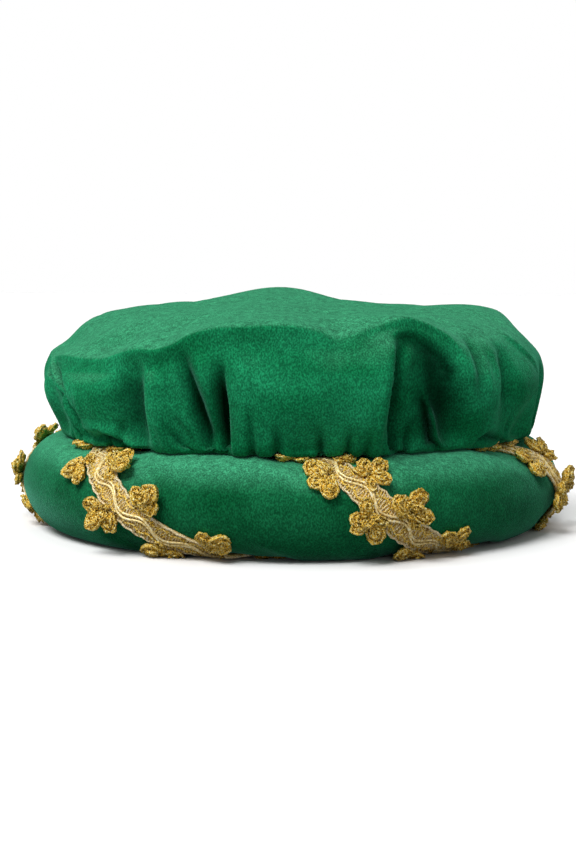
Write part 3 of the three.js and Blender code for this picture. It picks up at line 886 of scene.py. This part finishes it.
def braid_near(turns, azimuth):
    """Distance in mm over the roll to the middle of the nearest winding."""
    radius = roll_section(turns)[0]
    nearest = np.full(np.broadcast(turns, azimuth).shape, np.inf)
    step = 0.01
    for winding in range(len(braid_turns)):
        at = winding + turns
        advance = np.radians(braid_azimuth(at + step) - braid_azimuth(at - step)) / (2 * step)
        slant = np.hypot(advance * radius, section_length) / section_length
        away = np.abs(np.radians(turn_between(braid_azimuth(at), azimuth))) * radius
        nearest = np.minimum(nearest, away / slant)
    return nearest


roll_turns = (np.arange(roll_sides) / roll_sides)[:, None]
roll_azimuths = (np.arange(roll_columns) * 360 / roll_columns)[None, :]
near = braid_near(roll_turns, roll_azimuths)
press = press_at(roll_turns)
under_band = 1 - smoothstep(near, braid_width / 2, braid_width / 2 + groove_ramp)
under_flowers = 1 - smoothstep(near, flower_reach, flower_reach + groove_ramp)
groove = groove_depth * under_band + (deepest_groove - groove_depth) * press * np.maximum(
    under_flowers, under_band)
free = 1 - np.maximum(under_band, press * np.ones_like(near))
lift = -groove - slack * free
roll_points, _ = over_roll(roll_turns, roll_azimuths, lift)
roll_faces = grid_faces(roll_sides, roll_columns, closed_rows=True)
roll = mesh_piece("roll_velvet", roll_points.reshape(-1, 3), roll_faces, [roll_green])
held = roll.vertex_groups.new(name="held")
for i, share in enumerate((1 - free).ravel()):
    held.add([i], float(np.clip(share, 0.02, 1)), "REPLACE")
print("roll of %d faces before stuffing" % len(roll_faces))


# %% Stuffing the roll
def stuff(piece, pressure, frames, most):
    """Blows the cloth up with pressure and keeps the result, moved by no more than most mm."""
    cloth = piece.modifiers.new("Cloth", "CLOTH")
    cloth.settings.vertex_group_mass = "held"
    cloth.settings.use_pressure = True
    cloth.settings.uniform_pressure_force = pressure
    cloth.settings.effector_weights.gravity = 0
    cloth.settings.quality = 5
    cloth.settings.tension_stiffness = cloth.settings.compression_stiffness = 15
    cloth.point_cache.frame_start, cloth.point_cache.frame_end = 1, frames
    for frame_number in range(1, frames + 1):
        bpy.context.scene.frame_set(frame_number)
    swollen = piece.evaluated_get(bpy.context.evaluated_depsgraph_get()).data
    start, end = (np.zeros(len(mesh.vertices) * 3, np.float32) for mesh in (piece.data, swollen))
    piece.data.vertices.foreach_get("co", start)
    swollen.vertices.foreach_get("co", end)
    moved = (end - start).reshape(-1, 3)
    length = np.linalg.norm(moved, axis=1, keepdims=True)
    moved *= np.minimum(1, most * MM / np.maximum(length, 1e-9))
    piece.modifiers.remove(cloth)
    piece.data.vertices.foreach_set("co", (start.reshape(-1, 3) + moved).ravel())
    piece.data.update()
    bpy.context.scene.frame_set(1)
    return length.mean() / MM, length.max() / MM


print("swollen by %.2f mm on average, %.2f at most" % stuff(roll, pressure=4, frames=20, most=2.6))
rounding = roll.modifiers.new("Subdivision", "SUBSURF")
rounding.levels = rounding.render_levels = 1

# %% [markdown]
# ## Finish of gold thread
# Metal lace is flat gilt wire spun round a thread. It glitters because every turn of the wire
# faces another way. A fine noise gives each turn its height and one of three tones: painted
# shade between the turns, gold on them, and a painted glint on the highest. The cords, the
# net and the flowers share this group with their own colours.

# %% Gold thread group
gilt, given, result = new_group(
    "gilt thread and painted glints",
    "ShaderNodeTree",
    {
        "Place": "Vector",
        "Painted Crevice Shade Colour": (0, 0, 0, 1),
        "Gold Colour": (1, 1, 1, 1),
        "Painted Glint Colour": (1, 1, 1, 1),
        "Glint Scale": 1500.0,
    },
    {"Colour": "Color", "Height": "Float"},
)
glints = noise(gilt, given["Place"], given["Glint Scale"], 2.0)["Fac"]
# Painted light: the dark colour is painted shade between the turns, the glint colour a painted
# highlight on the highest.
gold = mix_colours(gilt, ranged(gilt, glints, 0.37, 0.48), given["Painted Crevice Shade Colour"], given["Gold Colour"])
with_painted_glint = mix_colours(gilt, ranged(gilt, glints, 0.56, 0.61), gold, given["Painted Glint Colour"])
gilt.links.new(with_painted_glint, result["Colour"])
gilt.links.new(glints, result["Height"])


# %% Gold finishes
def gold_thread(name, painted_crevice_shade, gold, painted_glint, glint_scale, metal=0.12, roughness=0.34, relief=1):
    values = {
        "Painted Crevice Shade Colour": painted_crevice_shade, "Gold Colour": gold, "Painted Glint Colour": painted_glint, "Glint Scale": glint_scale,
    }
    material, _, shader, _ = finish_from(gilt, name, values, strength=relief, distance=0.001)
    shader.inputs["Metallic"].default_value = metal
    shader.inputs["Specular Tint"].default_value = (1, 0.8, 0.4, 1)
    shader.inputs["Roughness"].default_value = roughness
    return material


antique_gold = gold_thread(
    "antique_gold_yarn", (0.15, 0.065, 0.004), (1, 0.65, 0.08), (1, 0.98, 0.55), 1450)
dark_gold = gold_thread(
    "dark_gold_yarn", (0.05, 0.02, 0.002), (1, 0.58, 0.05), (1, 0.94, 0.42), 1450)
pale_gold = gold_thread(
    "pale_gold_cord", (0.6, 0.42, 0.13), (1, 0.8, 0.36), (1, 0.97, 0.7), 900, 0.15, relief=0.4)
tan_thread = gold_thread(
    "tan_thread", (0.55, 0.38, 0.16), (1, 0.82, 0.46), (1, 0.98, 0.8), 1500, 0.05)
dark_net = gold_thread(
    "dark_net", (0.1, 0.05, 0.01), (0.68, 0.44, 0.12), (1, 0.82, 0.36), 1800, 0.1, 0.6)
print("gold finishes made")

# %% [markdown]
# ## Path of the braid as a line
# Whatever lies on the braid follows one line. It is kept as a mesh of points that carry their
# own directions, across the braid and out of the velvet, so that a Geometry Nodes tree can
# move or turn things by them. A tree's result is kept as a plain mesh.

# %% Braid path as a line
steps_per_turn = 190
path_turns = np.arange(len(braid_turns) * steps_per_turn) / steps_per_turn


def path_frame(turns):
    """Points on the groove's floor in mm, and the directions across, out and along."""
    floor_lift = -groove_depth - (deepest_groove - groove_depth) * press_at(turns)
    middle, out = over_roll(turns, braid_azimuth(turns), floor_lift)
    a_little_on = turns + 1e-4
    ahead, _ = over_roll(a_little_on, braid_azimuth(a_little_on), floor_lift)
    along = ahead - middle
    along /= np.linalg.norm(along, axis=-1, keepdims=True)
    across = np.cross(along, out)
    across *= np.sign(np.sum(across * around(braid_azimuth(turns) + 90, 1.0, 0.0), -1))[..., None]
    across /= np.linalg.norm(across, axis=-1, keepdims=True)
    return middle, across, out, along


middle, across, out, _ = path_frame(path_turns)
steps = np.linalg.norm(np.roll(middle, -1, 0) - middle, axis=1)
travelled = np.append(0, np.cumsum(steps)[:-1])
braid_length = steps.sum()
print("braid of %.2f m" % (braid_length * MM))


# %% Line with directions
def line_object(name, points, edges, vectors, numbers):
    mesh = bpy.data.meshes.new(name)
    mesh.from_pydata((points * MM).tolist(), edges, [])
    for key, values in vectors.items():
        attribute = mesh.attributes.new(key, "FLOAT_VECTOR", "POINT")
        attribute.data.foreach_set("vector", np.asarray(values, np.float32).ravel())
    for key, values in numbers.items():
        attribute = mesh.attributes.new(key, "FLOAT", "POINT")
        attribute.data.foreach_set("value", np.asarray(values, np.float32).ravel())
    piece = bpy.data.objects.new(name, mesh)
    bpy.context.scene.collection.objects.link(piece)
    return piece


count = len(middle)
loop = [(i, (i + 1) % count) for i in range(count)]
path = line_object(
    "braid_path", middle, loop,
    {"across": across, "out": out},
    {"travelled": travelled / braid_length},
)
print("path of", count, "points")

# %% [markdown]
# ## Steps that the trees share
# A tree reads the line's directions by their names. It never lets a thread sink into the
# surface that the hat stands on, and it ends by shading its mesh smooth and giving it a finish.


# %% Steps that the trees share
def named(tree, name, kind="FLOAT"):
    return add_node(
        tree, "GeometryNodeInputNamedAttribute", {"Name": name}, data_type=kind
    ).outputs["Attribute"]


def finished(tree, geometry, material, lowest, result):
    """Ends a tree: no point lower than asked, shaded smooth, made real, with its material."""
    at = add_node(
        tree, "ShaderNodeSeparateXYZ", {0: tree.nodes.new("GeometryNodeInputPosition").outputs[0]}
    )
    raised = maths(tree, "MAXIMUM", at.outputs["Z"], lowest)
    place = add_node(
        tree, "ShaderNodeCombineXYZ", {"X": at.outputs["X"], "Y": at.outputs["Y"], "Z": raised}
    )
    for kind, inputs in (
        ("GeometryNodeSetPosition", {"Position": place.outputs[0]}),
        ("GeometryNodeSetShadeSmooth", {}),
        ("GeometryNodeRealizeInstances", {}),
        ("GeometryNodeSetMaterial", {"Material": material}),
    ):
        geometry = add_node(tree, kind, {"Geometry": geometry, **inputs}).outputs[0]
    tree.links.new(geometry, result["Geometry"])


# %% [markdown]
# ## Cords of the braid
# The braid has a tan cord along each edge, a gold one inside it, and a pair of bright cords
# that wander from side to side down the middle. They all follow the same path, so one tree
# makes them: it moves the path sideways by an offset and a wave, lifts it off the velvet, and
# sweeps a round section along it.

# %% Cord tree
cord_tree, given, result = new_group(
    "cord along the braid",
    "GeometryNodeTree",
    {
        "Geometry": "Geometry",
        "Offset": 0.0,
        "Wave": 0.0,
        "Waves": 56.0,
        "Phase": 0.0,
        "Lift": 0.001,
        "Thickness": 0.001,
        "Sides": 6,
        "Material": "Material",
    },
    {"Geometry": "Geometry"},
)
lowest_thread = 0.1 * MM
angle = maths(
    cord_tree, "MULTIPLY_ADD",
    maths(cord_tree, "MULTIPLY", named(cord_tree, "travelled"), given["Waves"]),
    2 * math.pi,
    given["Phase"],
)
sideways = maths(
    cord_tree, "MULTIPLY_ADD", maths(cord_tree, "SINE", angle), given["Wave"], given["Offset"]
)
moved = add_node(
    cord_tree,
    "ShaderNodeVectorMath",
    {
        0: scaled(cord_tree, named(cord_tree, "across", "FLOAT_VECTOR"), sideways),
        1: scaled(cord_tree, named(cord_tree, "out", "FLOAT_VECTOR"), given["Lift"]),
    },
    operation="ADD",
)
placed = add_node(
    cord_tree, "GeometryNodeSetPosition",
    {"Geometry": given["Geometry"], "Offset": moved.outputs[0]},
)
curve = add_node(cord_tree, "GeometryNodeMeshToCurve", {"Mesh": placed.outputs[0]})
section = add_node(
    cord_tree, "GeometryNodeCurvePrimitiveCircle",
    {"Resolution": given["Sides"], "Radius": given["Thickness"]},
)
swept = add_node(
    cord_tree, "GeometryNodeCurveToMesh",
    {"Curve": curve.outputs[0], "Profile Curve": section.outputs[0]},
)
finished(cord_tree, swept.outputs[0], given["Material"], lowest_thread, result)
print("cord tree of", len(cord_tree.nodes), "nodes")


# %% Pieces from a tree
def node_group_inputs(modifier, values):
    """Sets a Geometry Nodes modifier's inputs by their sockets' identifiers."""
    for item in modifier.node_group.interface.items_tree:
        if item.item_type == "SOCKET" and item.in_out == "INPUT" and item.name in values:
            modifier[item.identifier] = values[item.name]


def grow(name, source, group, values):
    """Runs a Geometry Nodes tree on a source object and keeps the result as a plain mesh."""
    modifier = source.modifiers.new("grow", "NODES")
    modifier.node_group = group
    node_group_inputs(modifier, values)
    evaluated = source.evaluated_get(bpy.context.evaluated_depsgraph_get())
    mesh = bpy.data.meshes.new_from_object(evaluated)
    mesh.name = name
    source.modifiers.remove(modifier)
    piece = bpy.data.objects.new(name, mesh)
    bpy.context.scene.collection.objects.link(piece)
    return piece


def join(name, parts):
    """Joins finished pieces into one mesh."""
    with bpy.context.temp_override(
        active_object=parts[0], selected_editable_objects=parts, selected_objects=parts
    ):
        bpy.ops.object.join()
    parts[0].name = parts[0].data.name = name
    return parts[0]


# %% Cords
waves = len(braid_turns) * flowers_per_turn / 2
cord_rows = [
    # name, offset, wave, waves, phase, lift, thickness, material (lengths in mm)
    ("left_bright_cord", -0.95, 2.6, waves, 0.0, 1.7, 0.62, pale_gold),
    ("right_bright_cord", 0.75, 2.5, waves, 0.3, 1.75, 0.6, pale_gold),
    ("left_edge_cord", -6.6, 0.35, waves * 4, 0.0, 1.0, 0.6, tan_thread),
    ("right_edge_cord", 6.6, 0.35, waves * 4, 1.0, 1.0, 0.6, tan_thread),
    ("left_lace_cord", -3.9, 0.9, waves * 3, 0.5, 1.15, 0.55, antique_gold),
    ("right_lace_cord", 3.9, 0.9, waves * 3, 2.0, 1.15, 0.55, antique_gold),
]
cords = [
    grow(name, path, cord_tree, {
        "Offset": offset * MM, "Wave": wave * MM, "Waves": float(times), "Phase": phase,
        "Lift": height * MM, "Thickness": thickness * MM, "Material": finish,
    })
    for name, offset, wave, times, phase, height, thickness, finish in cord_rows
]
braid_cords = join("braid_cords", cords)
print("cords of %d faces" % len(braid_cords.data.polygons))

# %% [markdown]
# ## Tape and rungs
# Under the cords lies a flat crocheted tape, with painted shade between its threads, and across
# it run the rungs of the lace like the steps of a ladder. The tape is a thin closed strip. A rung
# is a short thread with a few faces, and a tree sets one at every step of the path, each turned
# and stretched a little by chance.

# %% Tape
tape_width = 13.6
edge = tape_width / 2
tape_section = [
    (-edge, 0.1), (-edge, 0.7), (-edge / 2, 0.85), (0, 0.95), (edge / 2, 0.85), (edge, 0.7),
    (edge, 0.1), (0, 0.1),
]
tape_step = 2
tape_rings = np.stack([
    middle[::tape_step] + across[::tape_step] * side + out[::tape_step] * up
    for side, up in tape_section
], 1)
tape_rings[..., 2] = np.maximum(tape_rings[..., 2], 0.1)
tape_faces = grid_faces(len(tape_rings), len(tape_section), closed_rows=True)
tape = mesh_piece("braid_tape", tape_rings.reshape(-1, 3), tape_faces, [dark_net])
print("tape of", len(tape_faces), "faces")


# %% Copies set by chance
def random_between(tree, low, high, seed):
    values = {"Min_001": low, "Max_001": high, "Seed": seed}
    return typed_node(tree, "FunctionNodeRandomValue", "FLOAT", values, "Value_001")


def around_one(tree, spread, seed):
    """A random factor between one less the spread and one more."""
    least = maths(tree, "SUBTRACT", 1.0, spread)
    return random_between(tree, least, maths(tree, "ADD", 1.0, spread), seed)


def either_way(tree, limit, seed):
    """A random angle between minus the limit and the limit."""
    return random_between(tree, maths(tree, "MULTIPLY", limit, -1.0), limit, seed)


def copies_on_points(tree, geometry, thing, turns, size):
    """Copies of an object on a mesh's points, by the points' directions, turned and resized."""
    facing = add_node(
        tree, "FunctionNodeAxesToRotation",
        {
            "Primary Axis": named(tree, "out", "FLOAT_VECTOR"),
            "Secondary Axis": named(tree, "across", "FLOAT_VECTOR"),
        },
        primary_axis="Z", secondary_axis="X",
    )
    item = add_node(tree, "GeometryNodeObjectInfo", {"Object": thing})
    dots = add_node(tree, "GeometryNodeMeshToPoints", {"Mesh": geometry})
    placed = add_node(
        tree, "GeometryNodeInstanceOnPoints",
        {
            "Points": dots.outputs[0],
            "Instance": item.outputs["Geometry"],
            "Rotation": facing.outputs[0],
        },
    )
    turn = add_node(tree, "ShaderNodeCombineXYZ", turns)
    turned = add_node(
        tree, "GeometryNodeRotateInstances",
        {"Instances": placed.outputs[0], "Rotation": turn.outputs[0]},
    )
    return add_node(
        tree, "GeometryNodeScaleInstances", {"Instances": turned.outputs[0], "Scale": size}
    ).outputs[0]


# %% Rung tree
rung_tree, given, result = new_group(
    "threads across the braid",
    "GeometryNodeTree",
    {
        "Geometry": "Geometry",
        "Thread": "Object",
        "Turn": 0.2,
        "Stretch": 0.1,
        "Seed": 1,
        "Material": "Material",
    },
    {"Geometry": "Geometry"},
)
turns = {"Z": either_way(rung_tree, given["Turn"], given["Seed"])}
stretch_seed = maths(rung_tree, "ADD", given["Seed"], 7.0)
size = around_one(rung_tree, given["Stretch"], stretch_seed)
threads = copies_on_points(rung_tree, given["Geometry"], given["Thread"], turns, size)
real = add_node(rung_tree, "GeometryNodeRealizeInstances", {"Geometry": threads})
finished(rung_tree, real.outputs[0], given["Material"], lowest_thread, result)
print("rung tree of", len(rung_tree.nodes), "nodes")


# %% Rungs
def tube(points, radius, sides):
    """Points and faces of a thin tube along points in mm, closed at its ends."""
    points = np.asarray(points, float)
    ahead = np.gradient(points, axis=0)
    ahead /= np.linalg.norm(ahead, axis=1, keepdims=True)
    side = np.cross(ahead, (0, 0, 1.0))
    side /= np.linalg.norm(side, axis=1, keepdims=True)
    up = np.cross(side, ahead)
    turn = 2 * np.pi * np.arange(sides) / sides
    ring = side[:, None] * np.cos(turn)[None, :, None] + up[:, None] * np.sin(turn)[None, :, None]
    skin = points[:, None] + radius * ring
    last = (len(points) - 1) * sides
    faces = grid_faces(len(points), sides).tolist()
    faces += [list(range(sides)), [last + i for i in reversed(range(sides))]]
    return skin.reshape(-1, 3), faces


def template(name, points, faces):
    """A small mesh that is only copied, so it isn't linked to the scene."""
    mesh = bpy.data.meshes.new(name)
    mesh.from_pydata((np.asarray(points) * MM).tolist(), [], [tuple(f) for f in faces])
    return bpy.data.objects.new(name, mesh)


reach = np.linspace(-6.4, 6.4, 7)
rung_line = [(x, 0.35 * math.sin(x * 1.3), 1.0 + 0.25 * math.cos(x * 0.9)) for x in reach]
rung = template("rung", *tube(rung_line, radius=0.33, sides=4))
rung_spacing = 1.45
rung_count = int(braid_length / rung_spacing)
rung_turns = np.interp(np.arange(rung_count) * braid_length / rung_count, travelled, path_turns)
rung_frame = path_frame(rung_turns)
rung_dots = line_object(
    "rung_dots", rung_frame[0], [], {"across": rung_frame[1], "out": rung_frame[2]}, {})
rungs = grow("braid_rungs", rung_dots, rung_tree, {
    "Thread": rung, "Turn": 0.22, "Stretch": 0.05, "Seed": 4, "Material": tan_thread})
lattice = grow("braid_lattice", rung_dots, rung_tree, {
    "Thread": rung, "Turn": 0.75, "Stretch": 0.08, "Seed": 11, "Material": antique_gold})
braid_net = join("braid_net", [rungs, lattice])
print("net of %d threads, %d faces" % (2 * rung_count, len(braid_net.data.polygons)))

# %% [markdown]
# ## Flowers
# Along both edges, by turns, the braid carries flowers of a few petals. A petal is a little pad
# of dark yarn with a crinkled gold cord laid round and over it. Both are small meshes, and one
# tree sets them on the same points with the same seed, so that each cord fits its pad. A noise
# then crinkles the yarn. Where the roll stands on something, the petals are pressed flat.

# %% Petal templates
petal_length, petal_width, petal_height = 11, 8.4, 3.4
petal_corners = 14


def petal_ring(size, height, corners=petal_corners, waviness=0.0):
    turn = 2 * np.pi * np.arange(corners) / corners
    swell = size * (1 + waviness * np.cos(corners / 2 * turn))
    x = petal_length * (0.5 - 0.5 * np.cos(turn) * swell)
    narrow = np.sqrt(np.abs(np.sin(turn))) * (0.85 - 0.25 * np.cos(turn))
    y = petal_width / 2 * np.sin(turn) * swell * narrow
    return np.stack([x, y, np.full_like(x, height)], -1)


rings = [
    petal_ring(0.75, 0.1),
    petal_ring(0.95, 1.5, waviness=0.08),
    petal_ring(0.7, 2.8, waviness=0.1),
]
poles = [(petal_length * 0.52, 0, petal_height), (petal_length / 2, 0, 0.2)]
points = np.concatenate([*rings, poles])
faces = grid_faces(len(rings), petal_corners).tolist()
last = (len(rings) - 1) * petal_corners
for i in range(petal_corners):
    following = (i + 1) % petal_corners
    faces.append((last + i, len(points) - 2, last + following))
    faces.append((i, following, len(points) - 1))
petal_pad = template("petal_pad", points, faces)
wide_loop = tube(petal_ring(1, 2.3, corners=13)[1:], radius=0.95, sides=3)
small_ring = petal_ring(0.52, 3.5, corners=9, waviness=0.2)
small_loop = tube(small_ring[1:], radius=0.85, sides=3)
cord_points = np.concatenate([wide_loop[0], small_loop[0]])
cord_faces = wide_loop[1] + [[len(wide_loop[0]) + i for i in face] for face in small_loop[1]]
petal_cord = template("petal_cord", cord_points, cord_faces)
print("petal of", len(faces), "faces, its cord of", len(cord_faces))

# %% Petal tree
petal_tree, given, result = new_group(
    "petals beside the braid",
    "GeometryNodeTree",
    {
        "Geometry": "Geometry",
        "Petal": "Object",
        "Turn": 0.22,
        "Stretch": 0.08,
        "Crinkle": 0.0005,
        "Crinkle Scale": 700.0,
        "Floor": 0.0002,
        "Seed": 1,
        "Material": "Material",
    },
    {"Geometry": "Geometry"},
)
seeds = [maths(petal_tree, "ADD", given["Seed"], float(step)) for step in range(3)]
turns = {
    "X": either_way(petal_tree, given["Turn"], seeds[0]),
    "Z": either_way(petal_tree, given["Turn"], seeds[1]),
}
size = maths(
    petal_tree, "MULTIPLY", named(petal_tree, "size"),
    around_one(petal_tree, given["Stretch"], seeds[2]),
)
leaves = copies_on_points(petal_tree, given["Geometry"], given["Petal"], turns, size)
real = add_node(petal_tree, "GeometryNodeRealizeInstances", {"Geometry": leaves})
place = petal_tree.nodes.new("GeometryNodeInputPosition").outputs[0]
centred = add_node(
    petal_tree, "ShaderNodeVectorMath",
    {0: noise(petal_tree, place, given["Crinkle Scale"], 1.0)["Color"], 1: (0.5, 0.5, 0.5)},
    operation="SUBTRACT",
)
shaken = add_node(
    petal_tree, "GeometryNodeSetPosition",
    {"Geometry": real.outputs[0], "Offset": scaled(petal_tree, centred.outputs[0], given["Crinkle"])},
)
finished(petal_tree, shaken.outputs[0], given["Material"], given["Floor"], result)
print("petal tree of", len(petal_tree.nodes), "nodes")


# %% Points on the roll
def unit(vectors):
    return vectors / np.linalg.norm(vectors, axis=-1, keepdims=True)


def down_on_roll(points, lift):
    """The points moved onto the roll, as far above its round as lift says, with its normals."""
    angle = np.arctan2(
        (points[:, 2] + foot_flattening) / roll_half_height - 1,
        (np.hypot(points[:, 0], points[:, 1]) - roll_centre) / roll_half_width,
    )
    azimuth = np.degrees(np.arctan2(points[:, 0], -points[:, 1]))
    return over_roll((90 - np.degrees(angle)) / 360, azimuth, lift)


# %% Places of the petals
# angle in the fan, rise in degrees, size, and the share of flowers that have this petal
fan = [
    (-62, 16, 1.0, 1), (0, 14, 1.1, 1), (62, 16, 1.0, 1), (-120, 8, 0.75, 0.6),
    (120, 8, 0.75, 0.6), (-32, 42, 0.66, 0.9), (34, 46, 0.66, 0.9), (180, 35, 0.5, 0.5),
]
chance = np.random.default_rng(12)
flower_turns = (np.arange(len(braid_turns) * flowers_per_turn) + 0.5) / flowers_per_turn
side = np.where(np.arange(len(flower_turns)) % 2, -1.0, 1.0)[:, None]
foot, flower_across, _, flower_along = path_frame(flower_turns)
pressed = press_at(flower_turns)
petal_lift, groove_beside = 0.6, 0.6
on_velvet = petal_lift - groove_beside * groove_depth - (deepest_groove - groove_depth) * pressed
heart, heart_out = down_on_roll(foot + flower_across * side * (braid_width / 2 + 0.4), on_velvet)
dots, ways, outs, sizes = [], [], [], []
for angle, tilt_up, size, share in fan:
    turn = np.radians(angle + chance.uniform(-14, 14, len(heart)))[:, None]
    size = size * chance.uniform(0.85, 1.12, len(heart))
    aimed = flower_across * side * np.cos(turn) + flower_along * np.sin(turn)
    tip, _ = down_on_roll(heart + aimed * (petal_length * size)[:, None], on_velvet)
    flat_way = unit(tip - heart)
    rise = np.tan(np.radians(tilt_up + chance.uniform(-12, 12, len(heart))) * (1 - pressed))[:, None]
    way = unit(flat_way + heart_out * rise)
    upward = unit(heart_out - way * np.sum(heart_out * way, -1, keepdims=True))
    # the petals that stand up are left out where the braid is pressed down
    there = (chance.random(len(heart)) < share) & ((tilt_up < 30) | (pressed < 0.2))
    dots.append(heart[there])
    ways.append(way[there])
    outs.append(upward[there])
    sizes.append(size[there])
petal_dots = line_object(
    "petal_dots", np.concatenate(dots), [],
    {"across": np.concatenate(ways), "out": np.concatenate(outs)},
    {"size": np.concatenate(sizes)},
)
print(len(petal_dots.data.vertices), "petals on", len(flower_turns), "flowers")

# %% Petals
petal_looks = {"Crinkle": 3.2 * MM, "Seed": 5}
petals = grow(
    "flower_petals", petal_dots, petal_tree,
    {"Petal": petal_pad, "Material": dark_gold, **petal_looks})
petal_cords = grow(
    "petal_cords", petal_dots, petal_tree,
    {"Petal": petal_cord, "Material": antique_gold, **petal_looks})
print("petals of %d and %d faces" % (len(petals.data.polygons), len(petal_cords.data.polygons)))

# %% [markdown]
# ## Riding
# Every piece rides on the one body of the hat, and the solid model's crown, roll and braid
# are hidden. The crown and the tape are sheets of cloth, and the roll is a padded piece. The
# crown is cut as a disc, 440 mm across, and gathered.

# %% Riding
for helper in (path, rung_dots, petal_dots, rung, petal_pad, petal_cord):
    bpy.data.objects.remove(helper)
on_braid = [braid_cords, braid_net, petals, petal_cords]
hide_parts("crown")
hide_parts("roll")
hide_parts("flower_braid")
for piece in (crown, roll, tape, *on_braid):
    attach(piece, "root")
